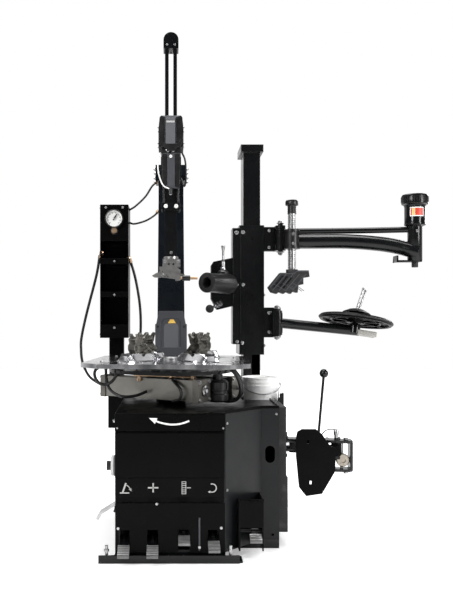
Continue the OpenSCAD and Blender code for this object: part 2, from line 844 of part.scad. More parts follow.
module mount_head() {
  y = bar_y;
  color(steel) {
    along_z(0, y, [1143, bar_foot], 31);
    difference() {
      block([-36, 40], [y - 26, y + 26], [1108, 1143]);
      for (x = [-8, 10]) along_y(x, [y - 27, y + 27], 1122, 5);
    }
    plate_y([y - 30, y + 18],
      [[-49, 1110], [21, 1110], [40, 1096], [40, 1080], [-21, 1080], [-49, 1086]]);
    // the hooked blade: a heel to the left and a finger to the right
    plate_y([y - 34, y - 6], [[-81, 1071], [-60, 1084], [-30, 1086], [20, 1084], [48, 1079], [60, 1076],
            [44, 1068], [33, 1056], [0, 1060], [-40, 1064], [-70, 1064]]);
  }
  color("peru") along_x([30, 112], y - 48, 1060, 6);
  color(steel) block([18, 40], [y - 56, y - 24], [1050, 1074]);
}

module mount_roller() {
  color(black) difference() {
    along_x([47, 81], bar_y - 48, 1060, 11.5);
    along_x([46, 82], bar_y - 48, 1060, 6 + fit);
  }
}

// ---------- Assist tower ----------

module arm_lugs(p, z, pin) {
  for (h = z) {
    along_z(p[0], p[1], h, 24);
    block([p[0] - 24, p[0] + 24], [p[1], carriage_y + 20], h);
  }
  along_z(p[0], p[1], [z[0][0] - 6, z[1][1] + 10], pin);
}

module assist_carriage() {
  x1 = post_x + post_w;
  y1 = post_y + post_d;
  gap = 0.1;
  color(black) {
    difference() {
      block([post_x - 20, x1 + 16], [carriage_y, y1 + 40], [719, 1325]);
      block([post_x - gap, x1 + gap], [post_y - gap, y1 + gap], [700, 1340]);
      // relief holes in the front
      for (z = [1262, 820, 1000]) along_y(x1 - 40, [carriage_y - 1, carriage_y + 12], z, 6);
    }
    block([288, post_x - 20], [carriage_y, carriage_y + 90], [768, 1312]);
    plate_y([carriage_y + 5, carriage_y + 65],
      [[288, 1173], [199, 1155], [187, 1136], [187, 980], [215, 928], [288, 946]]);
    block([x1 + 16, 530], [carriage_y, carriage_y + 40], [1204, 1317]);
    arm_lugs(press_pivot, [[1202, 1217], [1302, 1317]], 12);
    block([x1 + 16, 514], [carriage_y, carriage_y + 40], [800, 940]);
    arm_lugs(lower_pivot, [[812, 822], [915, 925]], 12);
    // stub that carries the guide sleeve
    difference() {
      between([262, 318, 1047], [268, carriage_y + 12, 1047], 30);
      between(sleeve_front, sleeve_end + 0.3 * sleeve_dir, 38.3);
    }
    block([230, 254], [342, carriage_y + 6], [1098, 1114]);
    along_z(242, 354, [1113, 1146], 5);
  }
}

module guide_sleeve() {
  p = sleeve_front;
  u = sleeve_dir;
  color(black) difference() {
    union() {
      between(p, sleeve_end, 38);
      between(p, p + 22 * u, 43);
    }
    between(p - u, sleeve_end - 30 * u, 33);
  }
}

module clamp_lever() {
  color(steel) rotate_extrude_at(242, 354) polygon([[5 + fit, 1114.2], [13, 1114.2], [13, 1122], [10, 1126],
    [10, 1148], [5, 1166], [5, 1200], [9, 1222], [9, 1226], [0, 1226], [0, 1147], [5 + fit, 1147]]);
}

module press_arm() {
  p = press_pivot;
  tip = [1102, 267];
  tube_r = 34;
  path = [[562, 338, 1244], [780, 330, 1244], [930, 312, 1234], [1030, 290, 1214], [1096, 268, 1190]];
  color(black) difference() {
    union() {
      along_z(p[0], p[1], [1217.2, 1301.8], 21);
      block([p[0], 572], [p[1] - 20, p[1] + 20], [1222, 1297]);
      for (i = [0:3]) between(path[i], path[i + 1], tube_r);
      for (i = [1:3]) translate(path[i]) sphere(r = tube_r + 0.8);
      between([560, 338, 1291], [1096, 268, 1291], 14);
      along_z(tip[0], tip[1], [1147, 1308], 32);
      along_z(tip[0], tip[1], [1307, 1403], 46);
      along_z(tip[0], tip[1], [1402, 1447], 58);
      along_z(tip[0], tip[1], [1120, 1148], 14);
      block([1012, 1126], [tip[1] - 28, tip[1] + 28], [1143, 1151]);
      block([1012, 1020], [tip[1] - 28, tip[1] + 28], [1143, 1172]);
      // guide of the press rod
      along_z(rod_at[0], rod_at[1], [1212, 1288], 32);
      block([540, 566], [rod_at[1], p[1]], [1216, 1284]);
    }
    along_z(p[0], p[1], [1190, 1340], 12 + fit);
    along_z(rod_at[0], rod_at[1], [1150, 1300], 19 + fit);
  }
}

module press_rod() {
  color(steel) rotate_extrude_at(rod_at[0], rod_at[1]) polygon(concat(
    [[0, 1076], [19, 1076], [19, 1290]],
    [for (z = [1296:14:1366]) each [[19, z], [15, z + 2], [15, z + 5], [19, z + 7]]],
    [[19, 1380], [14, 1384], [14, 1400], [26, 1402], [30, 1408], [30, 1422], [24, 1429], [0, 1429]]));
}

module press_foot() {
  x = rod_at[0];
  y = rod_at[1];
  shape = [[-110, 1030], [-56, 1096], [8, 1096], [16, 1107], [72, 1107], [76, 1078], [48, 1074], [48, 1044],
           [26, 1040], [22, 1006], [0, 1012], [-8, 1001], [-30, 1010], [-40, 1001], [-62, 1010], [-72, 1001],
           [-96, 1008]];
  rib = [[-92, 1030], [-52, 1082], [-40, 1082], [-80, 1028]];
  color(black) difference() {
    union() {
      plate_y([y - 26, y + 26], [for (p = shape) [p[0] + x, p[1]]]);
      along_z(x, y, [1040, 1112], 27);
    }
    for (d = [0, 20, 40], side = [[y - 27, y - 18], [y + 18, y + 27]])
      plate_y(side, [for (p = rib) [p[0] + x + d, p[1] - d * 0.1]]);
    along_z(x, y, [1074, 1120], 19 + fit);
  }
}

module lower_arm() {
  p = lower_pivot;
  c = disc_at;
  color(black) difference() {
    union() {
      along_z(p[0], p[1], [822.2, 914.8], 26);
      between([p[0] + 5, p[1], 868], [866, 340, 831], 23);
    }
    along_z(p[0], p[1], [800, 930], 12 + fit);
  }
  color(black) translate(c) rotate(disc_tilt) {
    along_z(0, 0, [-52, 44], 12);
    along_z(0, 0, [-60, -18], 26);
    // pad under the disc, and two thin release levers over its hub
    block([14, 96], [-24, 24], [-64, -44]);
    along_z(0, 0, [31, 38], 24);
    between([-8, -12, 34], [14, -12, 150], 4);
    between([8, 12, 34], [32, 12, 146], 4);
  }
}

module bead_disc() {
  color(black) translate(disc_at) rotate(disc_tilt) {
    // dished wheel: hub cone above, rim and inner ring below
    rotate_extrude() polygon([[12 + fit, -14], [40, -14], [48, -4], [104, 0], [108, -8], [116, -8], [120, 0],
                              [146, -2], [150, -11], [162, -11], [167, -5], [167, 3], [162, 9], [72, 13],
                              [30, 30], [12 + fit, 30]]);
    for (i = [0:5]) rotate([0, 0, 60 * i + 15]) block([44, 152], [-3, 3], [-10, 2]);
  }
}

// ---------- Bead breaker ----------

module breaker_arm() {
  b = breaker_at;
  z = breaker_z;
  h = 30;
  color(black) {
    difference() {
      union() {
        along_z(b[0], b[1], [z[0] - 5.5, z[1] + 5.5], 33);
        translate([b[0], b[1], 0]) rotate([0, 0, breaker_turn]) {
          block([0, 205], [-h, h], z);
          // fork that holds the paddle pin
          for (k = [[z[0] - 18, z[0] - 6], [z[1] - 8, z[1] + 4]]) {
            block([200, 262], [-h - 20, 10], k);
          }
          block([198, 212], [-h, h], [z[0] - 18, z[1] + 4]);
          along_z(yoke_at, yoke_side, [z[0] - 26, z[1] + 14], 9);
        }
        block([b[0] - 14, b[0] + 14], [b[1] - lug_r, b[1]], lug_z);
        along_z(b[0], b[1] - lug_r, [lug_z[0], lug_z[1]], 16);
      }
      along_z(b[0], b[1], [z[0] - 10, z[1] + 10], 15 + fit);
    }
    along_z(b[0], b[1] - lug_r, [290, 342], 10);
  }
  // swing handle with its ball, turned in one piece
  color(black) translate([664, 262, 345]) rotate([0, 5, 0]) rotate_extrude() polygon(concat(
    [[0, 0], [6, 0], [6, 278]], [for (a = [-65:10:75]) [0, 297] + 20 * [cos(a), sin(a)]],
    [[0, 297 + 20 * sin(75)]]));
}

module breaker_paddle() {
  b = breaker_at;
  z = breaker_z;
  face = [[-192, 372], [-186, 400], [-166, 411], [-106, 411], [-80, 390], [-22, 307], [-22, 230], [-80, 132],
          [-149, 122], [-179, 160], [-192, 294]];
  color(black) translate([b[0], b[1], 0]) rotate([0, 0, breaker_turn]) translate([yoke_at, yoke_side, 0]) {
    rotate([0, 0, -breaker_turn]) difference() {
      union() {
        plate_y([-84, -74], face);
        block([-60, -24], [-80, -40], [z[0] + 6, z[1] - 16]);
        block([-30, 4], [-58, -6], [z[0] + 6, z[1] - 16]);
        along_z(0, 0, [z[0] - 4, z[1] - 10], 22);
      }
      along_z(0, 0, [z[0] - 10, z[1]], 9 + fit);
      block([-146, -136], [-90, -70], [348, 364]);
      block([-134, -124], [-90, -70], [172, 188]);
    }
  }
}

module breaker_rod() {
  y = breaker_at[1] - lug_r;
  x = breaker_at[0];
  color(steel) {
    along_x([330, 468], y, 316, 14);
    along_x([316, 332], y, 316, 85.95);
    block([464, 472], [y - 17, y + 32], [292, 340]);
    for (k = [[292, 303], [329, 340]]) difference() {
      block([470, x + 22], [y - 17, y + 32], k);
      block([x - 11.5, x + 11.5], [y - 11.5, y + 27], [k[0] - 1, k[1] + 1]);
    }
  }
}

base_frame();
cabinet_shell();
front_cover();
pedal_panel();
top_deck();
chassis_fasteners();
pedal_guard();
wheel_rest_pad();
drive_motor();
gearbox_housing();
drive_belt();
breaker_cylinder();
control_units();
tilt_bracket();
tilt_cylinder();
inflator_box();
pressure_gauge();
air_hoses();
assist_post();
lube_bucket();
power_switch();
pedal_tilt();
pedal_clamp();
pedal_breaker();
pedal_spin();
side_pedal();
inflation_pedal();
motor_pulley();
worm_shaft();
turntable_plate();
turntable_shaft();
clamp_cylinders();
jaw_1();
jaw_2();
jaw_3();
jaw_4();
jaw_cam_plate();
clamp_rod_front();
clamp_rod_rear();
column_tower();
column_cover();
tilt_rod();
horizontal_arm();
slide_head();
hex_bar();
mount_head();
mount_roller();
gauge_needle();
deflate_button();
assist_carriage();
guide_sleeve();
clamp_lever();
press_arm();
press_rod();
press_foot();
lower_arm();
bead_disc();
breaker_arm();
breaker_paddle();
breaker_rod();
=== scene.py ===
"""Looks of the tilt-back tyre changer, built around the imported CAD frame.

Metres, +Z up, the operator looks along +Y. Pieces are drawn in millimetres, in the same places as the CAD.
"""

import math

import bmesh
import bpy
from mathutils import Matrix, Vector


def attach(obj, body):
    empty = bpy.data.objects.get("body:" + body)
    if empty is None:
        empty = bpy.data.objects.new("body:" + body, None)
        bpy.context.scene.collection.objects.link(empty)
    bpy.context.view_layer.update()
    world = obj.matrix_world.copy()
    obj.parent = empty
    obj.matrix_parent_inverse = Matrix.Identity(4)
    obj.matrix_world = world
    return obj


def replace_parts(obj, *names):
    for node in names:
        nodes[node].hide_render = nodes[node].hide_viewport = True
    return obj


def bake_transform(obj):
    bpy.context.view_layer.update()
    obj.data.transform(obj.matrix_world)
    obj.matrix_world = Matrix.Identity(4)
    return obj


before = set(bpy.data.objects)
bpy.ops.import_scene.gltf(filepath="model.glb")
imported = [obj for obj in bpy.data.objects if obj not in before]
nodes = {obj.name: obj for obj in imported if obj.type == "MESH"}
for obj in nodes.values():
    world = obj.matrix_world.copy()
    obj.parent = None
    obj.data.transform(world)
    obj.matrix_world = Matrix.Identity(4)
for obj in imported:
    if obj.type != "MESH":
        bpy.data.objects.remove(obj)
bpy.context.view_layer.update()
scene = bpy.context.scene
MM = 0.001

# Places that several pieces share, in millimetres and degrees
JAW_TURN = 39.5              # heading of the first jaw
CYLINDER_TURN = -32.7        # heading of the two clamp cylinders
CYLINDER_AT = (98, 610)      # their distance from the turntable's axis, and their height
BOX_X = -261                 # middle of the inflator box
BOX_FACE = 330               # its front
COLUMN_FACE = 414            # front of the column's base cover
CARRIAGE_FACE = 385          # front of the assist carriage
ARM_PIVOT = (506, 340)       # hinge of the press arm
PRESS = (552, 300)           # the press rod
CUP = (1102, 267)            # the air cup at the end of the press arm
DISC_AT = (853, 340, 880)    # hub of the wheel on the lower arm
FORK_PIN = (761, 226)        # pin at the end of the bead-breaker arm


# ---------- Materials ----------

class Nodes:
    """A small helper that writes the shader nodes of a material or a world without the wiring noise."""

    def __init__(self, owner, shader="Principled BSDF"):
        owner.use_nodes = True
        self.owner = owner
        self.tree = owner.node_tree
        self.shader = self.tree.nodes[shader]
        self.spaces = self.add("ShaderNodeTexCoord").outputs
        self.coords = self.spaces["Object"]

    def put(self, value, socket):
        """Links an output to a socket, or sets the socket to a number, a vector or a colour."""
        if isinstance(value, bpy.types.NodeSocket):
            self.tree.links.new(value, socket)
        elif socket.type == "RGBA":
            socket.default_value = (*value, 1.0)
        else:
            socket.default_value = value

    def add(self, kind, inputs=None, **values):
        node = self.tree.nodes.new(kind)
        for key, value in values.items():
            setattr(node, key, value)
        for key, value in (inputs or {}).items():
            self.put(value, node.inputs[key])
        return node

    def stretch(self, scale):
        return self.add("ShaderNodeMapping", {"Scale": scale, "Vector": self.coords}).outputs["Vector"]

    def noise(self, scale, detail=3.0, vector=None, rough=0.55):
        inputs = {"Scale": scale, "Detail": detail, "Roughness": rough, "Vector": vector or self.coords}
        return self.add("ShaderNodeTexNoise", inputs).outputs["Fac"]

    def ramp(self, fac, low, high, a, b):
        inputs = {"From Min": low, "From Max": high, "To Min": a, "To Max": b, "Value": fac}
        return self.add("ShaderNodeMapRange", inputs).outputs["Result"]

    def math(self, op, a, b=0.0):
        return self.add("ShaderNodeMath", {0: a, 1: b}, operation=op).outputs[0]

    def mix(self, fac, a, b):
        return self.add("ShaderNodeMix", {0: fac, 6: a, 7: b}, data_type="RGBA").outputs[2]

    def bump(self, height, strength, distance):
        inputs = {"Strength": strength, "Distance": distance, "Height": height}
        return self.add("ShaderNodeBump", inputs).outputs["Normal"]

    def edges(self, radius):
        """1 along convex and concave edges, 0 on open faces."""
        bevel = self.add("ShaderNodeBevel", {"Radius": radius}, samples=4).outputs["Normal"]
        flat = self.add("ShaderNodeNewGeometry").outputs["Normal"]
        dot = self.add("ShaderNodeVectorMath", {0: bevel, 1: flat}, operation="DOT_PRODUCT").outputs["Value"]
        return self.ramp(self.math("SUBTRACT", 1.0, dot), 0.02, 0.25, 0.0, 1.0)

    def done(self, color, rough, metallic=0.0, normal=None, coat=0.0, spec=None):
        """Sets the surface and returns its material."""
        inputs = {"Base Color": color, "Roughness": rough, "Metallic": metallic, "Normal": normal,
                  "Coat Weight": coat, "Coat Roughness": 0.12, "Specular IOR Level": spec}
        for key, value in inputs.items():
            if value is not None:
                self.put(value, self.shader.inputs[key])
        return self.owner


def surface(name):
    return Nodes(bpy.data.materials.new(name))


def paint(name, color, rough=0.32, bump=0.08, coat=0.1, dust=0.03, spec=0.3):
    """Powder-coated sheet: fine orange peel, faint dust and slightly rubbed edges."""
    n = surface(name)
    peel = n.noise(900.0, 2.0)
    cloud = n.noise(5.0, 4.0)
    fine = n.noise(60.0, 5.0)
    edge = n.math("MULTIPLY", n.edges(0.0022), n.ramp(fine, 0.42, 0.62, 0.1, 1.0))
    base = n.mix(n.ramp(cloud, 0.35, 0.7, 0.0, dust), color, (0.2, 0.195, 0.19))
    base = n.mix(n.math("MULTIPLY", edge, 0.3), base, (0.07, 0.072, 0.075))
    gloss = n.ramp(n.noise(18.0, 5.0), 0.3, 0.7, rough - 0.05, rough + 0.09)
    return n.done(base, gloss, 0.0, n.bump(peel, bump, 0.0006), coat, spec)


def metal(name, color, rough=0.3, brush=None, dirt=0.25, bump=0.05):
    """Bare metal, with optional brushing along one axis and tarnish clouds."""
    n = surface(name)
    lines = n.noise(160.0, 4.0, n.stretch(brush) if brush else None)
    cloud = n.noise(14.0, 5.0)
    base = n.mix(n.ramp(cloud, 0.42, 0.72, 0.0, dirt), color, (0.12, 0.115, 0.11))
    base = n.mix(n.ramp(lines, 0.35, 0.65, 0.0, 0.22), base, [c * 0.62 for c in color])
    gloss = n.ramp(lines, 0.3, 0.7, rough - 0.07, rough + 0.1)
    gloss = n.math("ADD", gloss, n.ramp(cloud, 0.4, 0.75, 0.0, 0.12))
    return n.done(base, gloss, 1.0, n.bump(lines, bump, 0.0008))


def plastic(name, color, rough=0.45, worn=None):
    """Moulded plastic with a fine spark-eroded grain and paler edges."""
    n = surface(name)
    grain = n.noise(700.0, 3.0)
    cloud = n.noise(9.0, 3.0)
    worn = worn or [min(1.0, c * 1.8 + 0.05) for c in color]
    base = n.mix(n.ramp(cloud, 0.3, 0.7, 0.0, 0.18), color, [c * 0.78 for c in color])
    base = n.mix(n.math("MULTIPLY", n.edges(0.0018), 0.2), base, worn)
    gloss = n.ramp(n.noise(35.0, 4.0), 0.3, 0.7, rough - 0.06, rough + 0.1)
    return n.done(base, gloss, 0.0, n.bump(grain, 0.12, 0.0005))


def rubber(name, color, rough=0.62, scale=260.0):
    """Black rubber, dull, with a fine uneven skin and grey scuffs."""
    n = surface(name)
    skin = n.noise(scale, 5.0)
    scuff = n.noise(22.0, 6.0)
    base = n.mix(n.ramp(scuff, 0.55, 0.78, 0.0, 0.35), color, (0.11, 0.108, 0.105))
    return n.done(base, n.ramp(skin, 0.3, 0.7, rough - 0.08, rough + 0.12), 0.0, n.bump(skin, 0.25, 0.0006))


def turntable_metal(name):
    """Polished plate whose brushing runs around the spin axis, with a broad radial reflection painted into its
    colour.
    """
    n = surface(name)
    x, y, _ = n.add("ShaderNodeSeparateXYZ", {0: n.coords}).outputs
    radius = n.math("SQRT", n.math("ADD", n.math("MULTIPLY", x, x), n.math("MULTIPLY", y, y)))
    angle = n.math("ARCTAN2", y, x)
    around = {0: n.math("MULTIPLY", radius, 220.0), 1: n.math("MULTIPLY", angle, 1.4)}
    lines = n.noise(1.0, 5.0, n.add("ShaderNodeCombineXYZ", around).outputs[0], 0.7)
    heading = {0: n.math("COSINE", angle), 1: n.math("SINE", angle)}
    # Painted reflection: broad radial sectors shift the colour between dark and bright steel, standing in for
    # the plate's star-like reflections.
    painted_reflection = n.noise(4.5, 2.0, n.add("ShaderNodeCombineXYZ", heading).outputs[0])
    cloud = n.noise(11.0, 6.0)
    base = n.mix(n.ramp(painted_reflection, 0.35, 0.65, 0.0, 1.0), (0.2, 0.205, 0.215), (0.86, 0.86, 0.88))
    base = n.mix(n.ramp(lines, 0.3, 0.7, 0.0, 0.3), base, (0.3, 0.3, 0.31))
    base = n.mix(n.ramp(cloud, 0.58, 0.8, 0.0, 0.5), base, (0.16, 0.15, 0.14))
    gloss = n.math("ADD", n.ramp(lines, 0.3, 0.7, 0.1, 0.2), n.ramp(cloud, 0.5, 0.8, 0.0, 0.16))
    return n.done(base, gloss, 1.0, n.bump(lines, 0.1, 0.0006))


def cast_metal(name):
    """Warm grey casting with a pebbled skin, oily shadows and bright rubbed edges."""
    n = surface(name)
    pebble = n.noise(210.0, 6.0)
    cloud = n.noise(26.0, 5.0)
    base = n.mix(n.ramp(cloud, 0.36, 0.62, 0.0, 0.85), (0.2, 0.19, 0.168), (0.02, 0.018, 0.015))
    base = n.mix(n.math("MULTIPLY", n.edges(0.003), 0.8), base, (0.75, 0.74, 0.71))
    return n.done(base, n.ramp(pebble, 0.3, 0.7, 0.2, 0.42), 0.95, n.bump(pebble, 0.4, 0.001))


def milky_plastic(name):
    """Translucent white pail plastic with faint horizontal flow lines."""
    n = surface(name)
    flow = n.noise(14.0, 3.0, n.stretch((1.0, 1.0, 14.0)))
    base = n.mix(n.ramp(flow, 0.35, 0.65, 0.0, 1.0), (0.98, 0.98, 0.975), (0.93, 0.935, 0.92))
    n.put(0.25, n.shader.inputs["Subsurface Weight"])
    n.put((0.012, 0.012, 0.012), n.shader.inputs["Subsurface Radius"])
    return n.done(base, n.ramp(flow, 0.3, 0.7, 0.3, 0.42), 0.0, n.bump(flow, 0.12, 0.001))


def print_ink(name, color):
    """Screen-printed ink with slightly uneven cover."""
    n = surface(name)
    cover = n.noise(120.0, 5.0)
    base = n.mix(n.ramp(cover, 0.35, 0.75, 0.0, 0.16), color, [c * 0.6 for c in color])
    return n.done(base, n.ramp(cover, 0.3, 0.7, 0.35, 0.5), 0.0, n.bump(cover, 0.05, 0.0003))


M = {
    "cabinet": paint("cabinet_paint", (0.0016, 0.0017, 0.0016), 0.3, coat=0.03, dust=0.003, spec=0.05),
    "flare": paint("flare_paint", (0.0065, 0.0072, 0.008), 0.36, dust=0.015, spec=0.2),
    "arm": paint("arm_paint", (0.003, 0.0033, 0.0038), 0.2, bump=0.05, coat=0.3, dust=0.01, spec=0.25),
    "column": paint("column_paint", (0.0024, 0.0042, 0.0068), 0.28, bump=0.05, dust=0.012, spec=0.2),
    "plate": turntable_metal("turntable_steel"),
    "cast": cast_metal("jaw_casting"),
    "steel": metal("machined_steel", (0.58, 0.58, 0.585), 0.28),
    "tool": metal("tool_steel", (0.46, 0.455, 0.44), 0.3, dirt=0.55, bump=0.12),
    "pedal": metal("pedal_steel", (0.72, 0.72, 0.72), 0.4, dirt=0.2),
    # Painted shade: a darker steel for the grooves between the ridges of the pedal pads.
    "groove": metal("pedal_groove", (0.3, 0.3, 0.3), 0.5, dirt=0.6),
    "lever": metal("lever_steel", (0.5, 0.5, 0.51), 0.26, dirt=0.2),
    "chrome": metal("chrome_parts", (0.8, 0.8, 0.82), 0.1, dirt=0.1, bump=0.01),
    "alu": metal("cylinder_aluminium", (0.34, 0.33, 0.3), 0.34, brush=(1.0, 1.0, 14.0), dirt=0.2),
    "alu_cap": metal("cap_aluminium", (0.27, 0.255, 0.23), 0.4, dirt=0.7, bump=0.2),
    "disc_steel": metal("disc_steel", (0.5, 0.45, 0.38), 0.38, dirt=0.3, bump=0.1),
    "motor": paint("motor_enamel", (0.09, 0.093, 0.097), 0.42, bump=0.2, dust=0.15),
    "pad": plastic("pad_plastic", (0.4, 0.39, 0.36), 0.5),
    "rubber": rubber("black_rubber", (0.009, 0.009, 0.0095)),
    "hose": rubber("hose_rubber", (0.006, 0.006, 0.0065), 0.38, 480.0),
    "black": plastic("black_plastic", (0.007, 0.007, 0.0075), 0.34),
    "grey": plastic("grey_plastic", (0.05, 0.052, 0.06), 0.4),
    "mid": plastic("mid_grey_plastic", (0.1, 0.103, 0.112), 0.36),
    "white": plastic("white_plastic", (0.8, 0.8, 0.78), 0.35, (0.9, 0.9, 0.9)),
    "pail": milky_plastic("pail_plastic"),
    "brass": metal("brass_parts", (0.66, 0.46, 0.3), 0.28, dirt=0.2),
    "ink": print_ink("white_ink", (0.92, 0.92, 0.91)),
    "grey_ink": print_ink("grey_ink", (0.42, 0.42, 0.41)),
    "dark_ink": print_ink("dark_ink", (0.01, 0.01, 0.01)),
    "yellow": print_ink("yellow_ink", (0.78, 0.5, 0.1)),
    "red": print_ink("red_ink", (0.6, 0.05, 0.025)),
}


# ---------- Mesh helpers ----------

FRONT = (0, -1, 0)
BACK = (0, 1, 0)
LEFT = (-1, 0, 0)
RIGHT = (1, 0, 0)
UP = (0, 0, 1)
DOWN = (0, 0, -1)


def mesh_object(bm, name):
    """Turns a bmesh drawn in millimetres into an object in metres."""
    bmesh.ops.scale(bm, vec=(MM, MM, MM), verts=bm.verts)
    mesh = bpy.data.meshes.new(name)
    bm.to_mesh(mesh)
    bm.free()
    obj = bpy.data.objects.new(name, mesh)
    scene.collection.objects.link(obj)
    return obj


def piece_from(bm, name, body, looks, smooth=35.0):
    """Turns a bmesh drawn in millimetres into a piece that rides on a body."""
    bmesh.ops.remove_doubles(bm, verts=bm.verts, dist=1e-3)
    bmesh.ops.recalc_face_normals(bm, faces=bm.faces)
    obj = mesh_object(bm, name)
    looks = looks if isinstance(looks, list) else [looks]
    for look in looks:
        obj.data.materials.append(M[look])
    obj.data.shade_smooth()
    obj.data.set_sharp_from_angle(angle=math.radians(smooth))
    if body:
        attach(obj, body)
    return obj


def rounded(obj, width, segments=2, angle=30.0):
    """Rounds the sharp edges by a width in millimetres, and evens the shading across the flats."""
    bevel = obj.modifiers.new("round", "BEVEL")
    bevel.width = width * MM
    bevel.segments = segments
    bevel.limit_method = "ANGLE"
    bevel.angle_limit = math.radians(angle)
    bevel.harden_normals = True
    bevel.use_clamp_overlap = True


def turned(degrees, axis="Z"):
    return Matrix.Rotation(math.radians(degrees), 4, axis)


def upright(x, y):
    return Matrix.Translation((x, y, 0))


def axis_place(at, direction):
    """A matrix that puts local z along a direction, with its origin at a point."""
    return Matrix.Translation(Vector(at)) @ Vector(direction).to_track_quat("Z", "Y").to_matrix().to_4x4()


def face_place(y):
    """Local x along X and local y along Z, on a wall that faces the operator at depth y."""
    return Matrix(((1, 0, 0, 0), (0, 0, -1, y), (0, 1, 0, 0), (0, 0, 0, 1)))


def circle(r, steps):
    return [(r * math.cos(a), r * math.sin(a)) for a in (2 * math.pi * i / steps for i in range(steps))]


def arc(x, y, r, start, end, count=16):
    steps = [math.radians(start + (end - start) * i / count) for i in range(count + 1)]
    return [(x + r * math.cos(a), y + r * math.sin(a)) for a in steps]


def bridge(bm, rows, mat=0, loop=False):
    """Skins rows of vertices that have the same count, and caps both ends unless the rows run in a loop."""
    for a, b in zip(rows, rows[1:] + (rows[:1] if loop else [])):
        for i in range(len(a)):
            j = (i + 1) % len(a)
            corners = list(dict.fromkeys((a[i], a[j], b[j], b[i])))
            if len(corners) > 2:
                bm.faces.new(corners).material_index = mat
    for row in (rows[0][::-1], rows[-1]):
        if not loop and len(set(row)) > 2:
            bm.faces.new(row).material_index = mat


def add_lathe(bm, profile, place=Matrix(), steps=40, mat=0, loop=False):
    """Turns (radius, height) points around z. A looped profile gives a ring with a bore."""
    rows = []
    for r, h in profile:
        if r == 0:
            rows.append([bm.verts.new(place @ Vector((0, 0, h)))] * steps)
        else:
            rows.append([bm.verts.new(place @ Vector((x, y, h))) for x, y in circle(r, steps)])
    bridge(bm, rows, mat, loop)


def add_box(bm, low, high, place=Matrix(), mat=0):
    made = bmesh.ops.create_cube(bm, size=1.0)
    low, high = Vector(low), Vector(high)
    for v in made["verts"]:
        v.co = place @ Vector([low[i] + (v.co[i] + 0.5) * (high[i] - low[i]) for i in range(3)])
    for f in {f for v in made["verts"] for f in v.link_faces}:
        f.material_index = mat


def add_prism(bm, outline, depth, place=Matrix(), mat=0):
    """An outline in local x and y, given a depth along local z."""
    bridge(bm, [[bm.verts.new(place @ Vector((x, y, z))) for x, y in outline] for z in (0, depth)], mat)


def add_hex(bm, r, low, high, place=Matrix(), mat=0):
    """A chamfered hexagon nut or head."""
    edge = (high - low) * 0.18
    levels = ((0.88, low), (1, low + edge), (1, high - edge), (0.88, high))
    corners = circle(r, 6)
    bridge(bm, [[bm.verts.new(place @ Vector((x * k, y * k, z))) for x, y in corners] for k, z in levels], mat)


def spline(points, per=10):
    """A smooth run through the points (Catmull-Rom)."""
    pts = [Vector(p) for p in points]
    pts = [2 * pts[0] - pts[1]] + pts + [2 * pts[-1] - pts[-2]]
    out = []
    for a, b, c, d in zip(pts, pts[1:], pts[2:], pts[3:]):
        for i in range(per):
            t = i / per
            out.append(0.5 * (2 * b + (c - a) * t + (2 * a - 5 * b + 4 * c - d) * t * t
                              + (3 * b - a - 3 * c + d) * t ** 3))
    return out + [pts[-2]]


def headings(path):
    """The direction of a path at each of its points."""
    last = len(path) - 1
    return [(path[min(i + 1, last)] - path[max(i - 1, 0)]).normalized() for i in range(len(path))]


def add_tube(bm, path, radius, steps=14, mat=0):
    """A closed round tube along a path."""
    rows = []
    side = None
    for p, ahead in zip(path, headings(path)):
        if side is None:
            side = ahead.cross(Vector(UP) if abs(ahead.z) < 0.9 else Vector(RIGHT)).normalized()
        side = (side - ahead * side.dot(ahead)).normalized()
        other = ahead.cross(side)
        rows.append([bm.verts.new(p + x * side + y * other) for x, y in circle(radius, steps)])
    bridge(bm, rows, mat)


def add_ribbon(bm, points, width, depth, place):
    """A flat printed line of even width through 2-D points, a little proud of its wall."""
    path = [Vector((x, y, 0.0)) for x, y in points]
    lift = Vector((0.0, 0.0, depth))
    rows = []
    for p, along in zip(path, headings(path)):
        side = Vector((-along.y, along.x, 0.0)) * width / 2
        rows.append([bm.verts.new(place @ v) for v in (p + side, p - side, p - side + lift, p + side + lift)])
    bridge(bm, rows)


def add_head(bm, tip, back, half, depth, place):
    """An arrow head from its tip and the middle of its base."""
    along = (Vector(tip) - Vector(back)).normalized()
    side = Vector((-along.y, along.x)) * half
    add_prism(bm, [tip, Vector(back) + side, Vector(back) - side], depth, place)


def hose(name, points, body, radius, look="hose"):
    bm = bmesh.new()
    add_tube(bm, spline(points), radius)
    return piece_from(bm, name, body, look)


def cap_screw(bm, at, direction, r):
    """A socket cap screw with a washer under its head."""
    add_lathe(bm, [(r * 1.35, 0.0), (r * 1.35, r * 0.2), (r, r * 0.22), (r, r * 0.9), (r * 0.88, r),
                   (r * 0.5, r), (r * 0.46, r * 0.45), (0, r * 0.42)], axis_place(at, direction), 20)


def hex_bolt(bm, at, direction, r):
    """A hexagon bolt head on a washer, with the stub of its thread."""
    place = axis_place(at, direction)
    add_lathe(bm, [(r * 1.5, 0.0), (r * 1.5, r * 0.22), (r * 1.42, r * 0.26), (0, r * 0.26)], place, 24)
    add_hex(bm, r, r * 0.26, r, place)
    add_lathe(bm, [(r * 0.5, r), (r * 0.5, r * 1.22), (r * 0.42, r * 1.3), (0, r * 1.3)], place, 16)


def screws(name, body, rows, kind=cap_screw, look="steel"):
    """Many fasteners as one piece: rows of (x, y, z, direction, radius)."""
    bm = bmesh.new()
    for x, y, z, direction, r in rows:
        kind(bm, (x, y, z), direction, r)
    piece_from(bm, name, body, look)


# ---------- CAD nodes: edges and materials ----------

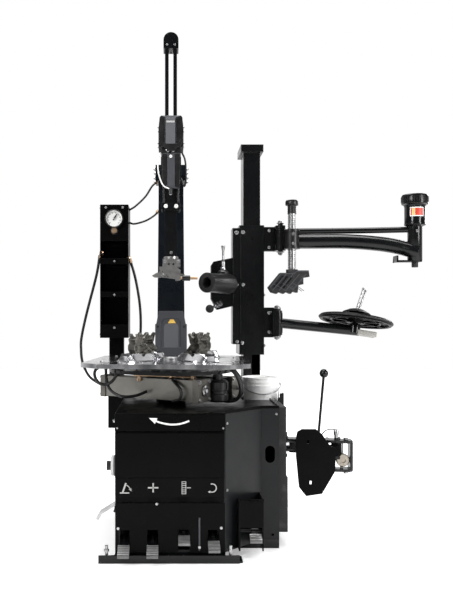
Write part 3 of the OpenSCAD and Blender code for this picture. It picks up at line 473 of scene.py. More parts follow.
# For each material, its CAD nodes and the width of their rounded edges in millimetres
LOOKS = {
    "arm": {"base_frame": 1.5, "tilt_bracket": 1.5, "assist_post": 2.5, "jaw_cam_plate": 1.0,
            "horizontal_arm": 3.0, "hex_bar": 2.5, "assist_carriage": 2.0, "guide_sleeve": 1.5,
            "press_arm": 1.5, "lower_arm": 1.5, "breaker_arm": 2.0},
    "cabinet": {"front_cover": 1.6, "pedal_panel": 0.9, "top_deck": 1.2, "pedal_guard": 0.9,
                "inflator_box": 1.5, "bead_disc": 1.5, "breaker_paddle": 3.0},
    "flare": {"cabinet_shell": 1.2},
    "column": {"column_tower": 3.0},
    "motor": {"drive_motor": 1.5, "gearbox_housing": 2.0, "breaker_cylinder": 1.5, "tilt_cylinder": 1.5,
              "motor_pulley": 0.6},
    "steel": {"chassis_fasteners": 0.6, "worm_shaft": 0.6, "turntable_shaft": 1.0},
    "chrome": {"clamp_rod_front": 0.8, "clamp_rod_rear": 0.8, "tilt_rod": 0.8, "press_rod": 0.8,
               "breaker_rod": 0.8},
    "pedal": {"pedal_tilt": 0.8, "pedal_clamp": 0.8, "pedal_breaker": 0.8, "pedal_spin": 0.8,
              "side_pedal": 0.8, "inflation_pedal": 1.0},
    "cast": {"jaw_1": 1.6, "jaw_2": 1.6, "jaw_3": 1.6, "jaw_4": 1.6},
    "plate": {"turntable_plate": 1.8},
    "alu": {"clamp_cylinders": 1.2},
    "tool": {"mount_head": 1.6},
    "lever": {"clamp_lever": 0.5},
    "brass": {"deflate_button": 1.0},
    "rubber": {"wheel_rest_pad": 2.5, "drive_belt": 0.0, "press_foot": 1.5},
    "hose": {"air_hoses": 0.0},
    "black": {"power_switch": 1.2, "slide_head": 4.0, "mount_roller": 1.5, "gauge_needle": 0.0},
    "grey": {"column_cover": 3.0},
    "white": {"control_units": 0.8, "pressure_gauge": 0.8},
    "pail": {"lube_bucket": 0.0},
}


def smooth_by_angle():
    """A shared node group: smooth shading with creases kept at sharp edges, for the CAD meshes."""
    tree = bpy.data.node_groups.new("smooth_by_angle", "GeometryNodeTree")
    tree.interface.new_socket("Geometry", in_out="INPUT", socket_type="NodeSocketGeometry")
    tree.interface.new_socket("Geometry", in_out="OUTPUT", socket_type="NodeSocketGeometry")
    start, end = tree.nodes.new("NodeGroupInput"), tree.nodes.new("NodeGroupOutput")
    faces = tree.nodes.new("GeometryNodeSetShadeSmooth")
    edges = tree.nodes.new("GeometryNodeSetShadeSmooth")
    edges.domain = "EDGE"
    edges.inputs["Shade Smooth"].default_value = False
    angle = tree.nodes.new("GeometryNodeInputMeshEdgeAngle")
    compare = tree.nodes.new("FunctionNodeCompare")
    compare.operation = "GREATER_THAN"
    compare.inputs[1].default_value = math.radians(28)
    tree.links.new(angle.outputs["Unsigned Angle"], compare.inputs[0])
    tree.links.new(compare.outputs[0], edges.inputs["Selection"])
    tree.links.new(start.outputs[0], faces.inputs["Geometry"])
    tree.links.new(faces.outputs[0], edges.inputs["Geometry"])
    tree.links.new(edges.outputs[0], end.inputs[0])
    return tree


def dress(node, look, width, smooth):
    """Gives a CAD node its material, smooth shading and rounded edges. Its mesh stays as it is."""
    node.data.materials.clear()
    node.data.materials.append(M[look])
    for polygon in node.data.polygons:
        polygon.material_index = 0
    node.modifiers.new("weld", "WELD").merge_threshold = 1e-5
    node.modifiers.new("crease", "NODES").node_group = smooth
    if width:
        rounded(node, width)


smooth_group = smooth_by_angle()
for node_look, widths in LOOKS.items():
    for node_name, edge_width in widths.items():
        dress(nodes[node_name], node_look, edge_width, smooth_group)


def tint(node_name, look, test):
    """Gives part of a CAD node a second finish, by where its faces are in millimetres."""
    mesh = nodes[node_name].data
    mesh.materials.append(M[look])
    for polygon in mesh.polygons:
        c = polygon.center / MM
        if test(c.x, c.y, c.z):
            polygon.material_index = len(mesh.materials) - 1


def on_cylinder_cap(x, y, z):
    """Beyond the barrel of the clamp cylinder on this side of the turntable's axis."""
    along = x * math.cos(math.radians(CYLINDER_TURN)) + y * math.sin(math.radians(CYLINDER_TURN))
    return not -234 < along < 190 if y < 0 else not -190 < along < 234


def tint_pedal(name, pivot_y, pivot_z, droop, pad_y):
    """A black arm, and darker, duller grooves between the ridges of the pad, in the drooping pedal's own frame;
    the darker grooves are painted shade.
    """
    level = turned(-droop, "X")

    def own(y, z):
        return level @ Vector((0.0, y - pivot_y, z - pivot_z))

    tint(name, "arm", lambda x, y, z: own(y, z).y > pad_y)
    # Painted shade: the faces between the ridges of the pad get the darker groove steel.
    tint(name, "groove", lambda x, y, z: own(y, z).y < pad_y and -4.8 < own(y, z).z < 7.4)


tint("control_units", "motor", lambda x, y, z: x > -200)
tint("pedal_panel", "grey", lambda x, y, z: 100 < x < 108 and y < -353.5)
tint("slide_head", "mid", lambda x, y, z: y < 46 and abs(x) < 24 and z > 1620)
tint("slide_head", "grey", lambda x, y, z: y < 57 and abs(x) < 15.5 and 1440 < z < 1590)
tint("slide_head", "arm", lambda x, y, z: z < 1382)
tint("column_cover", "mid", lambda x, y, z: 415 < y < 421 and abs(x) < 34.5 and 699 < z < 863)
tint("turntable_shaft", "plate", lambda x, y, z: z > 640)
tint("clamp_cylinders", "alu_cap", on_cylinder_cap)
tint("mount_head", "brass", lambda x, y, z: x > 40.5 and z < 1068)
for jaw_number in range(1, 5):
    tint("jaw_%d" % jaw_number, "chrome", lambda x, y, z: z < 751.5)
for pedal, pedal_droop in (("pedal_tilt", 24), ("pedal_clamp", 24), ("pedal_breaker", 9), ("pedal_spin", 17)):
    tint_pedal(pedal, -230, 120, pedal_droop, -149)
tint_pedal("side_pedal", -305, 100, 26, -23)
tint("lower_arm", "lever", lambda x, y, z: z > 930 and x > 820)
tint("pedal_guard", "flare", lambda x, y, z: y > -337.5)


# ---------- Cabinet ----------

def front_marks():
    """The rotation arrow on the deck fold and the four signs above the pedals."""
    bm = bmesh.new()
    place = face_place(-369.9)
    run = spline([(-56, 519, 0), (-40, 512.5, 0), (-4, 505.5, 0), (33, 507.5, 0), (66, 518, 0)], 6)
    add_ribbon(bm, [(v.x, v.y) for v in run], 6.0, 1.5, place)
    add_head(bm, (-80, 529), (-54, 518), 11, 1.5, place)
    piece_from(bm, "rotation_arrow", "stand", "ink")

    bm = bmesh.new()
    place = face_place(-368.9)
    tilt_sign = [([(-186, 256), (-152, 256)], 4), ([(-176, 258), (-164, 292)], 6)]
    tilt_sign += [(arc(-176, 258, 30, 20, 62), 3)]
    clamp_sign = [([(-84, 275), (-46, 275)], 5), ([(-65, 258), (-65, 292)], 5)]
    breaker_sign = [([(x, 252), (x, 298)], 2.4) for x in (40, 54)]
    breaker_sign += [([(41, z), (53, z)], 2.2) for z in (253, 260, 267, 275, 283, 290, 297)]
    breaker_sign += [([(57, 275), (72, 275)], 3.2)]
    spin_sign = [(arc(150, 274, 15, -118, 112), 3.6)]
    for points, width in tilt_sign + clamp_sign + breaker_sign + spin_sign:
        add_ribbon(bm, points, width, 0.7, place)
    add_head(bm, (-144, 262), (-149, 271), 5, 0.7, place)
    add_head(bm, (134, 260), (143, 260), 5, 0.7, place)
    piece_from(bm, "pedal_symbols", "stand", "grey_ink")


def cabinet_screws():
    slope = (math.sqrt(0.5), -math.sqrt(0.5), 0.0)
    screws("front_screws", "stand", [
        (-52, -355, 212, FRONT, 3.6), (206, -344, 506, slope, 3.6), (206, -344, 260, slope, 3.6),
        (344, -206, 60, slope, 3.2), (409, -198, 520, FRONT, 3.2), (-196, -371.2, 492, FRONT, 2.6),
        (190, -371.2, 492, FRONT, 2.6)])
    screws("side_bolts", "stand", [(-205, -335, 514, LEFT, 7)]
           + [(-205, y, 514, LEFT, 5) for y in (-150, 60, 250)]
           + [(-205, y, 70, LEFT, 5) for y in (-150, 60, 250)]
           + [(420, y, z, RIGHT, 5) for y, z in ((290, 500), (270, 70), (100, 500), (100, 70))], hex_bolt)
    screws("rear_screws", "stand",
           [(x, 310, z, BACK, 5) for x in (-190, -130, 180, 290, 400) for z in (70, 300, 515)]
           + [(x, 318, z, BACK, 7) for x in (-98, 98) for z in (404, 526)])


def switch_rim():
    """Rim and marks on the disc of the power switch."""
    bm = bmesh.new()
    place = axis_place((-205, -290, 340), LEFT)
    add_lathe(bm, [(37, 0), (39.5, 2), (39.5, 6), (38.4, 7.5), (37, 12)], place, 64, 0, True)
    for i in range(12):
        add_box(bm, (27, -1.2, 17.6), (34, 1.2, 18.8), place @ turned(30 * i), 1)
    piece_from(bm, "switch_rim", "stand", ["mid", "dark_ink"])


def pail_handle():
    bm = bmesh.new()
    path = [(306, 152, 611), (312, 112, 596), (340, 76, 577), (391, 62, 568), (442, 76, 577), (470, 112, 596),
            (476, 152, 611)]
    add_tube(bm, spline(path), 2.2, 10)
    for x, direction in ((308, LEFT), (474, RIGHT)):
        add_lathe(bm, [(9, -3), (9, 1), (7, 2.5), (0, 2.5)], axis_place((x, 152, 611), direction), 20, 1)
    piece_from(bm, "pail_handle", "stand", ["steel", "white"])


def underside_shade_sheet():
    """A dark sheet that closes the cabinet's underside, as painted shade standing in for the shade inside the
    open-bottomed cabinet.
    """
    bm = bmesh.new()
    # Painted shade: the dark sheet and its two low side walls hide the bright floor where the cabinet's inside
    # is in shade.
    add_box(bm, (-164, -309, 8.4), (159, 59, 10.8))
    for low, high in ((-164, -161.5), (156.5, 159)):
        add_box(bm, (low, -309, 8.4), (high, 59, 33))
    rounded(piece_from(bm, "underside_shade_sheet", "stand", "cabinet"), 0.8)


front_marks()
cabinet_screws()
switch_rim()
pail_handle()
underside_shade_sheet()


# ---------- Inflator ----------

def gauge():
    """A bezel, a printed scale and the ring round the deflate button."""
    bm = bmesh.new()
    place = axis_place((BOX_X, BOX_FACE, 1347), FRONT)
    add_lathe(bm, [(41.2, 0), (43, 3), (43, 17), (41.5, 20.5), (38, 21), (36.2, 19.5), (36.2, 9.2), (37, 9.2),
                   (37, 0)], place, 64, 0, True)
    button = axis_place((BOX_X, BOX_FACE, 1293), FRONT)
    add_lathe(bm, [(13.6, -1), (18, -1), (18, 2), (16.5, 3.4), (13.6, 3.4)], button, 40, 0, True)
    piece_from(bm, "gauge_bezel", "stand", "black")
    bm = bmesh.new()
    for i in range(28):
        start, half = (27, 0.5) if i % 3 else (24, 0.9)
        add_box(bm, (start, -half, 8.9), (32, half, 9.5), place @ turned(-45 + 10 * i))
    piece_from(bm, "gauge_scale", "stand", "dark_ink")


def air_lines():
    """Hoses of the stand, with a crimped brass end on each."""
    bm = bmesh.new()
    for run in (
            [(-335, 395, 1185), (-343, 396, 1128), (-356, 400, 1069), (-398, 405, 909), (-421, 405, 801),
             (-423, 400, 745), (-415, 400, 680), (-380, 410, 610), (-300, 425, 560), (-240, 420, 540),
             (-206, 330, 520)],
            [(-192, 400, 1163), (-166, 404, 1069), (-146, 408, 942), (-144, 410, 817), (-160, 414, 700),
             (-176, 400, 560), (-174, 345, 478), (-172, 312, 455)]):
        add_tube(bm, spline(run, 12), 6.2)
    for at, direction in (((-327, 394, 1196), (-0.25, 0.0, -1.0)), ((-196, 400, 1172), (0.35, 0.0, -1.0))):
        place = axis_place(at, direction)
        add_hex(bm, 10, -8, 4, place, 1)
        add_lathe(bm, [(7.6, 4), (8.2, 6), (8.2, 22), (7.2, 24)], place, 24, 1)
    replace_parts(piece_from(bm, "air_lines", "stand", ["hose", "brass"]), "air_hoses")
    for name, run in (
            ("tilt_air_lines", [(46, 618, 372), (74, 600, 384), (104, 520, 400), (112, 400, 378),
                                (108, 316, 350)]),
            ("tilt_air_lines_low", [(46, 618, 24), (80, 590, 40), (112, 500, 120), (118, 400, 220),
                                    (116, 314, 260)])):
        hose(name, run, "stand", 5)


def column_lines():
    """Two slack lines from the inflator box to the tilting column."""
    for name, run in (
            ("column_line_high", [(-198, 416, 1400), (-166, 402, 1418), (-120, 400, 1462), (-88, 412, 1514),
                                  (-64, 432, 1536)]),
            ("column_line_low", [(-198, 416, 1342), (-172, 404, 1334), (-120, 402, 1348), (-82, 412, 1372),
                                 (-61, 440, 1396)])):
        line = hose(name, run, None, 4.5)
        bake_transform(line)


gauge()
screws("box_screws", "stand", [(BOX_X, BOX_FACE, z, FRONT, 4) for z in (1153, 998, 846)]
       + [(BOX_X + x, BOX_FACE, 1400, FRONT, 4) for x in (-39, 39)]
       + [(-327, y, z, LEFT, 4) for y in (350, 460) for z in (815, 1400)])
air_lines()
column_lines()


# ---------- Column ----------

def column_label():
    """A small plain label on the column cover."""
    bm = bmesh.new()
    add_prism(bm, [(-15, 866), (23, 866), (12, 884), (-4, 884)], 0.9, face_place(418.2))
    piece_from(bm, "column_label", "column", "yellow")


screws("column_fittings", "column", [(-61, 440, 1396, LEFT, 9), (-64, 436, 1536, LEFT, 9)], hex_bolt, "brass")
screws("column_bolts", "column",
       [(s * 73, y, z, (s, 0, 0), 8) for s in (-1, 1) for y in (432, 536) for z in (1555, 1598)]
       + [(s * 68, 500, 500, (s, 0, 0), 12) for s in (-1, 1)], hex_bolt)
screws("cover_screws", "column", [(x, COLUMN_FACE, z, FRONT, 4) for x in (-62, 62) for z in (652, 850)],
       look="black")
column_label()


# ---------- Turntable ----------

def under_table():
    """Air valve, brass manifold and hoses that turn with the table."""
    bm = bmesh.new()
    valve = axis_place((186, -124, 560), UP)
    add_lathe(bm, [(0, 0), (34, 0), (42, 6), (42, 30), (38, 33), (38, 44), (42, 47), (42, 78), (36, 86),
                   (20, 88), (20, 108), (0, 108)], valve, 48)
    for i in range(10):
        add_box(bm, (40, -3, 50), (44.5, 3, 76), valve @ turned(36 * i))
    piece_from(bm, "air_valve", "turntable", "black")

    bm = bmesh.new()
    add_tube(bm, spline([(-150, -86, 661), (-60, -112, 661), (30, -150, 660), (96, -186, 660)]), 4.6)
    for x, y in ((-128, -92), (-2, -136), (84, -180)):
        place = Matrix.Translation((x, y, 661))
        add_lathe(bm, [(8.5, -14), (8.5, -6), (7, -5), (7, 5), (0, 5)], place, 20)
        add_hex(bm, 10, -22, -12, place)
    piece_from(bm, "air_manifold", "turntable", "brass")

    bm = bmesh.new()
    for size, run in (
            (6, [(-2, -140, 650), (14, -184, 642), (38, -214, 612), (34, -212, 580), (6, -176, 566)]),
            (6, [(-286, -126, 700), (-302, -134, 680), (-300, -136, 656), (-284, -132, 634), (-256, -126, 628),
                 (-226, -130, 650), (-204, -124, 700)]),
            (6, [(-262, -96, 700), (-258, -108, 650), (-242, -120, 606), (-196, -140, 582), (-140, -132, 584),
                 (-96, -120, 600)]),
            (7, [(226, -150, 700), (258, -166, 664), (274, -156, 612), (262, -140, 572), (228, -118, 560),
                 (190, -96, 566)]),
            (7, [(240, -110, 700), (276, -120, 650), (284, -112, 600), (262, -92, 566), (214, -74, 562)]),
            (6, [(120, 120, 664), (170, 150, 640), (150, 176, 600), (60, 150, 570), (20, 90, 565)])):
        add_tube(bm, spline(run, 12), size)
    piece_from(bm, "table_hoses", "turntable", "hose")


def cylinder_fittings():
    """Four screws at each end of the two clamp cylinders, and a port on each."""
    away, height = CYLINDER_AT
    rows = []
    bm = bmesh.new()
    for flip in (1, -1):
        turn = turned(CYLINDER_TURN) @ Matrix.Diagonal((flip, flip, 1, 1))
        ahead = turn @ Vector(RIGHT)
        for v in (-36, 36):
            for w in (-35, 35):
                for along, direction in ((217, ahead), (-258, -ahead)):
                    rows.append((*(turn @ Vector((along, v - away, height + w))), direction, 6))
        place = axis_place(turn @ Vector((221, -away, height)), ahead)
        add_lathe(bm, [(21, 0), (21, 3), (13, 3.4), (12, -2), (0, -2)], place)
        add_hex(bm, 9, -2, 7, place)
    screws("cylinder_screws", "turntable", rows)
    piece_from(bm, "cylinder_ports", "turntable", "chrome")


def jaw_trim(number, turn):
    """A polished cover over a jaw's slide, and the hooked casting on top of the jaw."""
    bm = bmesh.new()
    rows = []
    low = 720.6
    # distance from the turntable's axis, half width, height and half width of the crown
    for r, wide, top, crown in (
            (66, 25, 726, 14), (78, 25.6, 744, 16), (94, 26, 751.6, 17), (112, 40, 752.4, 20),
            (140, 43, 752.4, 24), (206, 43, 752.4, 24), (228, 42, 750, 22), (242, 40, 738, 20),
            (250, 38, 724, 18)):
        rise = top - low
        half = [(wide, low), (wide, low + 0.12 * rise), (crown + 3, top - 0.1 * rise), (crown - 2, top)]
        section = [(-y, z) for y, z in half] + half[::-1]
        rows.append([bm.verts.new(turn @ Vector((r, y, z))) for y, z in section])
    bridge(bm, rows)
    body = "jaw_slide_%d" % number
    rounded(piece_from(bm, "slide_cover_%d" % number, body, "chrome", 50), 2.5, 3, 20)

    bm = bmesh.new()
    hook = [(141, 812), (135, 826), (143, 832), (153, 824), (161, 816), (169, 812), (179, 818), (187, 830),
            (197, 828), (193, 816), (201, 806), (197, 790), (171, 782), (147, 790)]
    for y in (-15, 25.5):
        add_prism(bm, hook, 10.5, turn @ face_place(y))
    for y in (-31, 31):
        add_lathe(bm, [(0, 748), (8, 748), (8, 758), (5, 761), (0, 761)], turn @ upright(160, y), 20)
    rounded(piece_from(bm, "jaw_hooks_%d" % number, body, "cast"), 2)


def table_trim():
    """The jaws' covers and castings, the centre cap, and two screws in the plate beyond each jaw."""
    rows = []
    for i in range(4):
        turn = turned(JAW_TURN + 90 * i)
        jaw_trim(i + 1, turn)
        rows += [(*(turn @ Vector((306, y, 719.8))), UP, 5) for y in (-60, 60)]
    bm = bmesh.new()
    add_lathe(bm, [(0, 720), (31, 720), (31, 727), (27, 730), (12, 731), (11, 728), (0, 728)], Matrix(), 48)
    piece_from(bm, "centre_cap", "turntable", "steel")
    screws("plate_screws", "turntable", rows)


under_table()
cylinder_fittings()
table_trim()


# ---------- Slide head and tool bar ----------

def head_trim():
    """Bars, fittings, air lines and the visor on the slide head, and the cap on the arm's rear end."""
    bm = bmesh.new()
    place = face_place(41)
    add_box(bm, (-20, 1714, 0), (15, 1722, 1.6), place)
    for x in (-27, 22):
        add_box(bm, (x - 1.5, 1626, -4), (x + 1.5, 1732, 0.6), place, 1)
    rounded(piece_from(bm, "head_trim", "arm", ["grey_ink", "black"]), 0.6)

    bm = bmesh.new()
    for x, z in ((-13, 1600), (9, 1600), (-2, 1432), (-2, 1419)):
        place = axis_place((x, 54, z), FRONT)
        add_lathe(bm, [(8, 0), (8, 3), (5.5, 3.6), (5.5, 10), (7, 11), (7, 13.5), (0, 13.5)], place, 24)
    piece_from(bm, "head_fittings", "arm", "chrome")
    hose("head_line", [(-46, 62, 1592), (-56, 54, 1560), (-52, 48, 1500), (-34, 44, 1452), (-8, 42, 1436)],
         "arm", 3, "white")
    hose("head_line_black", [(46, 64, 1594), (60, 70, 1560), (64, 90, 1500), (58, 130, 1462), (44, 158, 1500)],
         "arm", 4)
    screws("guide_bolts", "arm",
           [(-22, 58, 1365, FRONT, 6.5), (22, 58, 1365, FRONT, 6.5), (-1, 51, 1574, FRONT, 5)], look="white")
    screws("head_bolts", "arm",
           [(s * 53, y, z, (s, 0, 0), 4) for s in (-1, 1) for y in (64, 136) for z in (1632, 1700)])

    bm = bmesh.new()
    left = [(-52, 1640), (-40, 1612), (-26, 1612), (-16, 1596)]
    right = [(-x, z) for x, z in left[::-1]]
    top = [(52, 1662), (30, 1626), (-30, 1626), (-52, 1662)]
    add_prism(bm, left + right + top, 6, face_place(46))
    rounded(piece_from(bm, "head_visor", "arm", "black"), 1.5, 3)
    bm = bmesh.new()
    add_box(bm, (-42, 598, 1498), (42, 606, 1582))
    rounded(piece_from(bm, "arm_end_cap", "arm", "rubber"), 4, 4)


head_trim()
screws("bar_screws", "bar",
       [(x, 66, 2052, FRONT, 4) for x in (-16, 16)] + [(0, 74, z, FRONT, 5) for z in (1720, 1170)])
screws("tool_screws", "bar", [(x, 74, 1132, FRONT, 6) for x in (-26, 30)] + [(-34, 66, 1074, FRONT, 5)])


# ---------- Assist tower ----------

def carriage_strips():
    """Flat guide strips down the front of the carriage."""
    bm = bmesh.new()
    for low, high in ((321, 327), (428, 435)):
        add_box(bm, (low, 381, 724), (high, 386, 1321))
    add_box(bm, (288.5, 382.5, 770), (292, 386, 1310))
    rounded(piece_from(bm, "carriage_strips", "carriage", "arm"), 1, 3)


def stop_stud():
    """A threaded stud with two nuts and a rubber ball, below the guide sleeve."""
    bm = bmesh.new()
    place = axis_place((238, 400, 962), (-0.74, -0.55, -0.36))
    add_lathe(bm, [(0, -14), (6.5, -14), (6.5, 70), (0, 70)], place, 20)
    for h in (12, 30):
        add_hex(bm, 14, h, h + 12, place)
        add_lathe(bm, [(17, h - 2.5), (17, h), (0, h)], place, 28)
    piece_from(bm, "stop_stud", "carriage", "chrome")
    bm = bmesh.new()
    add_lathe(bm, [(0, 58)] + arc(0, 78, 19, -80, 80) + [(0, 97)], place, 32)
    piece_from(bm, "stop_ball", "carriage", "rubber")


def sleeve_trim():
    """The plastic skin of the guide sleeve, and the boss under the clamp lever."""
    bm = bmesh.new()
    mouth, rear = Vector((159, 180, 1047)), Vector((276, 330, 1047))
    add_lathe(bm, [(17, 120), (17, 8), (24, -4), (40, -6), (44.5, -3), (44.5, 3), (43, 24), (46.5, 168),
                   (45, 174), (39, 175), (39, 120), (32.6, 120)], axis_place(mouth, rear - mouth), 56, 0, True)
    piece_from(bm, "sleeve_liner", "carriage", "black")
    bm = bmesh.new()
    add_lathe(bm, [(0, 1084), (25, 1084), (27, 1088), (27, 1104), (20, 1112), (14, 1113.8), (0, 1113.8)],
              upright(242, 354))
    piece_from(bm, "lever_boss", "carriage", "black")


def press_arm_skin():
    """The bent press arm: one smooth tube, its stay, the pivot barrel, the end bracket and the air cup."""
    bm = bmesh.new()
    tube = [(548, 338, 1244), (660, 336, 1244), (780, 330, 1244), (860, 322, 1240), (930, 311, 1233),
            (985, 300, 1225), (1040, 282, 1212), (1082, 262, 1197), (1112, 254, 1187)]
    add_tube(bm, spline(tube, 8), 33.5, 28)
    add_tube(bm, spline([(560, 338, 1291), (760, 331, 1292), (930, 308, 1292), (1096, 268, 1291)], 8), 13.5, 18)
    add_lathe(bm, [(0, 1217.4), (21, 1217.4), (21, 1301.6), (0, 1301.6)], upright(*ARM_PIVOT), 32)
    add_lathe(bm, [(0, 1147), (30, 1147), (32.5, 1151), (32.5, 1304), (46, 1309), (47, 1313), (47, 1317),
                   (46, 1319), (46, 1390), (49, 1400), (58, 1404), (59, 1409), (59, 1440), (55, 1447),
                   (20, 1449), (0, 1449)], upright(*CUP), 56)
    add_box(bm, (506, 320, 1222), (572, 360, 1297))
    add_box(bm, (1012, 239, 1143), (1126, 295, 1151))
    add_box(bm, (1012, 239, 1143), (1020, 295, 1172))
    arm = piece_from(bm, "press_arm_tube", "upper_arm", "arm", 40)
    rounded(arm, 1.6, 2, 40)
    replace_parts(arm, "press_arm")

    bm = bmesh.new()
    for outer, low, high in ((32, 1210, 1290), (36, 1284, 1294), (36, 1206, 1214)):
        add_lathe(bm, [(19.4, low), (outer, low), (outer, high), (19.4, high)], upright(*PRESS), 40, 0, True)
    piece_from(bm, "press_guide", "upper_arm", "black")
    screws("arm_screws", "upper_arm",
           [(1102, 234.6, 1282, FRONT, 5)] + [(552, 268, z, FRONT, 5) for z in (1228, 1272)])


def cup_trim():
    """Grip ribs round the air cup, the spigot under it and a plain label."""
    bm = bmesh.new()
    for i in range(36):
        add_box(bm, (57.5, -2.4, 1412), (60.6, 2.4, 1437), upright(*CUP) @ turned(10 * i))
    add_lathe(bm, [(0, 1120), (13, 1120), (14.5, 1123), (14.5, 1150), (0, 1150)], upright(*CUP), 28)
    piece_from(bm, "cup_grip", "upper_arm", "black")

    bm = bmesh.new()
    for start, end, low, high, proud, mat in ((-39, 39, 1346, 1387, 0.7, 0), (-34, -27, 1350, 1383, 1.1, 1),
                                              (-25, -13, 1350, 1383, 1.1, 2), (-11, 34, 1350, 1383, 1.1, 1)):
        section = ((46, low), (46 + proud, low), (46 + proud, high), (46, high))
        rows = [[bm.verts.new(upright(*CUP) @ Vector((x * r, y * r, z))) for r, z in section]
                for x, y in arc(0, 0, 1, start - 96, end - 96, 12)]
        bridge(bm, rows, mat)
    piece_from(bm, "cup_label", "upper_arm", ["ink", "red", "yellow"])


def press_rod_skin():
    """The notched press rod with its black grip and cap, and the ribs on the faces of its foot."""
    bm = bmesh.new()
    notched = [(0, 1076), (18, 1076), (19, 1078)]
    for z in range(1082, 1353, 9):
        notched += [(19, z), (19, z + 3.4), (15.5, z + 5.2), (15.5, z + 7.2)]
    add_lathe(bm, notched + [(19, 1362), (19, 1370), (0, 1370)], upright(*PRESS), 32)
    rod = piece_from(bm, "press_rod_notched", "press_slide", "steel", 30)
    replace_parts(rod, "press_rod")

    bm = bmesh.new()
    grip = [(0, 1364), (18, 1364), (20.5, 1367)]
    for z in range(1370, 1395, 8):
        grip += [(20.5, z), (19.5, z + 2), (19.5, z + 5), (20.5, z + 7)]
    grip += [(21, 1402), (29, 1405), (30, 1410), (30, 1421), (27, 1427), (20, 1429), (0, 1429)]
    add_lathe(bm, grip, upright(*PRESS))
    piece_from(bm, "press_rod_grip", "press_slide", "black", 30)

    bm = bmesh.new()
    for face in (274, 327.6):
        place = face_place(face) @ upright(PRESS[0], 0)
        for x in (-70, -40, -10, 20):
            add_ribbon(bm, [(x - 22, 1016), (x + 40, 1090)], 3.2, 1.6, place)
        for x in (-60, -20, 20):
            add_ribbon(bm, [(x - 26, 1052 + x * 0.12), (x + 30, 1014)], 2.6, 1.4, place)
        add_ribbon(bm, [(-104, 1028), (-54, 1092), (6, 1092), (16, 1102), (70, 1102)], 4, 1.8, place)
    piece_from(bm, "foot_ribs", "press_shoe", "grey")


def disc_trim():
    """Sleeves and tips of the two release levers, the hub cap, the pad below, the bolts and the rubber rim."""
    tilt = Matrix.Translation(DISC_AT) @ turned(9, "Y") @ turned(-7, "X")
    bm = bmesh.new()
    for foot, tip in (((-8, -12, 34), (14, -12, 150)), ((8, 12, 34), (32, 12, 146))):
        lever = Vector(tip) - Vector(foot)
        top = lever.length
        add_lathe(bm, [(0, 3), (7.5, 3), (7.5, 16), (5, 20), (5, 30), (4.4, 34), (4.4, top - 6)]
                  + arc(0, top, 6.5, -70, 70, 7) + [(0, top + 6.5)], tilt @ axis_place(foot, lever), 20)
    add_hex(bm, 11, 38, 46, tilt @ upright(-14, 8))
    piece_from(bm, "release_tips", "disc_arm", "lever")

    bm = bmesh.new()
    add_lathe(bm, [(0, 31.5), (62, 31.5), (64, 34), (60, 37), (34, 50), (27, 52), (0, 52)], tilt, 56)
    rounded(piece_from(bm, "disc_hub_cap", "disc_arm", "cabinet", 40), 1.5)
    bm = bmesh.new()
    add_box(bm, (10, -26, -66), (99, 26, -42), tilt)
    rounded(piece_from(bm, "disc_pad", "disc_arm", "pad"), 5, 4)

    bm = bmesh.new()
    for i in range(6):
        add_hex(bm, 6.5, 18, 24, tilt @ turned(60 * i) @ upright(54, 0))
    add_lathe(bm, [(167.2, -4.5), (169, -3), (169, 1.5), (167.2, 3)], tilt, 96, 0, True)
    piece_from(bm, "disc_bolts", "disc", "rubber")


screws("carriage_bolts", "carriage", [(x, CARRIAGE_FACE, z, FRONT, r) for x, z, r in (
    (337, 1293, 6), (307, 1291, 6), (338, 1047, 5), (311, 1047, 3.5), (332, 774, 6), (508, 1304, 5),
    (460, 1300, 5), (460, 1222, 5), (310, 780, 5), (460, 915, 5), (460, 825, 5), (500, 915, 5))]
       + [(436, y, z, RIGHT, 8) for y in (420, 520) for z in (760, 1000, 1240)], hex_bolt)
screws("pivot_nuts", "carriage",
       [(*ARM_PIVOT, 1327, UP, 12), (490, 340, 935, UP, 12),
        (*ARM_PIVOT, 1196, DOWN, 12), (490, 340, 806, DOWN, 12)],
       hex_bolt)
carriage_strips()
stop_stud()
sleeve_trim()
press_arm_skin()
cup_trim()
press_rod_skin()
disc_trim()


# ---------- Bead breaker ----------

def breaker_trim():
    """The forked end of the bead-breaker arm, the disc between its cheeks, its pins and its bolts."""
    bm = bmesh.new()
    cheek = [(724, 188), (786, 180), (804, 194), (804, 230), (786, 244), (724, 236)]
    for low, high in ((212, 224), (338, 351)):
        add_prism(bm, cheek, high - low, Matrix.Translation((0, 0, low)))
    add_box(bm, (790, 186, 220), (803, 238, 342))
    add_box(bm, (716, 196, 214), (728, 226, 280))
    rounded(piece_from(bm, "breaker_fork_end", "breaker", "arm"), 2, 3)

    bm = bmesh.new()
    add_lathe(bm, [(0, 0), (26, 0), (29, 3), (29, 17), (26, 20), (12, 20), (11, 16), (0, 16)],
              axis_place((761, 216, 262), FRONT), 48)
    piece_from(bm, "breaker_disc", "breaker", "disc_steel")

    bm = bmesh.new()
    add_lathe(bm, [(0, 226), (7, 226), (7, 350), (0, 350)], upright(*FORK_PIN), 24)
    for x, y, low, r in ((776, 206, 351, 11), (748, 226, 351, 9), (776, 206, 202, 11)):
        add_hex(bm, r, low, low + 9, upright(x, y))
    add_lathe(bm, [(0, 361), (9, 361), (9, 372), (12, 374), (12, 392), (8, 398), (0, 399)],
              upright(732.6, 205.8), 28)
    piece_from(bm, "breaker_pins", "breaker", "steel")
    hose("pin_lanyard", [(733, 206, 392), (716, 204, 398), (690, 214, 392), (676, 232, 372), (668, 250, 352)],
         "breaker", 2.4)
    screws("breaker_bolts", "stand",
           [(500, 290, 392, UP, 14), (500, 290, 242, DOWN, 14), (450, 262, 371, UP, 7), (450, 300, 371, UP, 7)],
           hex_bolt)


breaker_trim()


# ---------- Stage, light and camera ----------

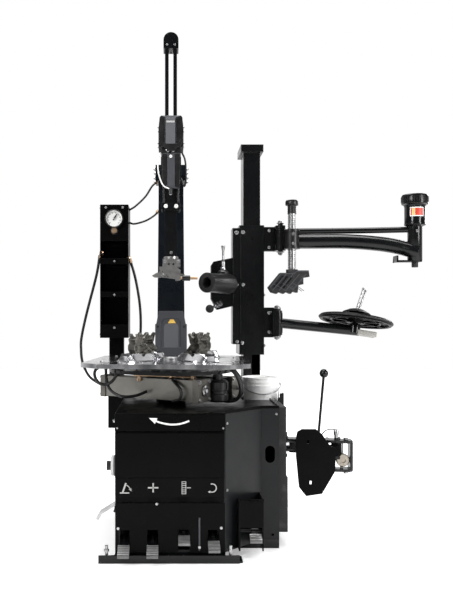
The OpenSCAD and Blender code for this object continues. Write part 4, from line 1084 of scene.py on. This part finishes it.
def stage():
    """A wide pale floor that runs into the pale surround."""
    bm = bmesh.new()
    add_box(bm, (-9000, -9000, -12), (9000, 9000, -0.5))
    floor = mesh_object(bm, "floor")
    n = surface("floor_paper")
    cloud = n.noise(1.5)
    n.done(n.mix(n.ramp(cloud, 0.3, 0.7, 0.0, 1.0), (0.9, 0.9, 0.9), (0.88, 0.88, 0.88)), 0.8, spec=0.1)
    seen = n.add("ShaderNodeLightPath").outputs["Is Camera Ray"]
    away = n.add("ShaderNodeVectorMath", {0: n.coords}, operation="LENGTH").outputs["Value"]
    n.put((1.0, 1.0, 1.0), n.shader.inputs["Emission Color"])
    n.put(n.math("MULTIPLY", seen, n.ramp(away, 1.2, 3.6, 0.32, 1.0)), n.shader.inputs["Emission Strength"])
    floor.data.materials.append(n.owner)


def area_light(name, at, look_at, size, power):
    data = bpy.data.lights.new(name, "AREA")
    data.shape = "RECTANGLE"
    data.size = size[0]
    data.size_y = size[1]
    data.energy = power
    obj = bpy.data.objects.new(name, data)
    obj.location = at
    obj.rotation_euler = (Vector(look_at) - Vector(at)).to_track_quat("-Z", "Y").to_euler()
    scene.collection.objects.link(obj)


def surround():
    """White to the camera, softer to the rest, with bright and dark bands for the glossy parts to mirror."""
    n = Nodes(bpy.data.worlds.new("studio"), "Background")
    _, behind, height = n.add("ShaderNodeSeparateXYZ", {0: n.spaces["Generated"]}).outputs
    bands = n.add("ShaderNodeValToRGB", {0: height})
    stops = bands.color_ramp.elements
    stops[0].color = (0.9, 0.9, 0.9, 1.0)
    stops[1].color = (0.25, 0.25, 0.25, 1.0)
    for at, value in ((0.22, 0.9), (0.3, 0.1), (0.5, 0.1), (0.56, 1.0), (0.76, 1.0), (0.84, 0.25)):
        stops.new(at).color = (value, value, value, 1.0)
    mirrored = n.math("MULTIPLY", bands.outputs["Color"], n.ramp(behind, -0.35, 0.5, 0.1, 0.95))
    rays = n.add("ShaderNodeLightPath").outputs
    level = n.ramp(rays["Is Glossy Ray"], 0.0, 1.0, 0.55, mirrored)
    n.put(n.ramp(rays["Is Camera Ray"], 0.0, 1.0, level, 1.0), n.shader.inputs["Strength"])
    n.put((1.0, 1.0, 1.0), n.shader.inputs["Color"])
    scene.world = n.owner


def camera():
    """The photo's view: level, from the front, 3 m away and 0.9 m up, shifted instead of turned."""
    data = bpy.data.cameras.new("camera")
    data.sensor_width = 36.0
    data.lens = 43.37
    data.shift_x = 0.0925
    data.shift_y = 0.0267
    data.clip_end = 60.0
    obj = bpy.data.objects.new("camera", data)
    obj.location = (0.0, -3.0, 0.9)
    obj.rotation_euler = (math.pi / 2, 0.0, 0.0)
    scene.collection.objects.link(obj)
    scene.camera = obj


scene.view_settings.view_transform = "Standard"
stage()
surround()
area_light("key", (-2.6, -3.2, 3.2), (0.1, 0.0, 0.9), (1.2, 1.8), 120)
area_light("fill", (3.4, -2.2, 2.0), (0.4, 0.0, 0.8), (0.8, 2.4), 90)
area_light("top", (0.2, 0.4, 3.8), (0.2, 0.2, 0.5), (2.6, 2.0), 110)
area_light("rim", (2.8, 2.6, 2.6), (0.3, 0.2, 1.0), (1.0, 2.0), 60)
camera()
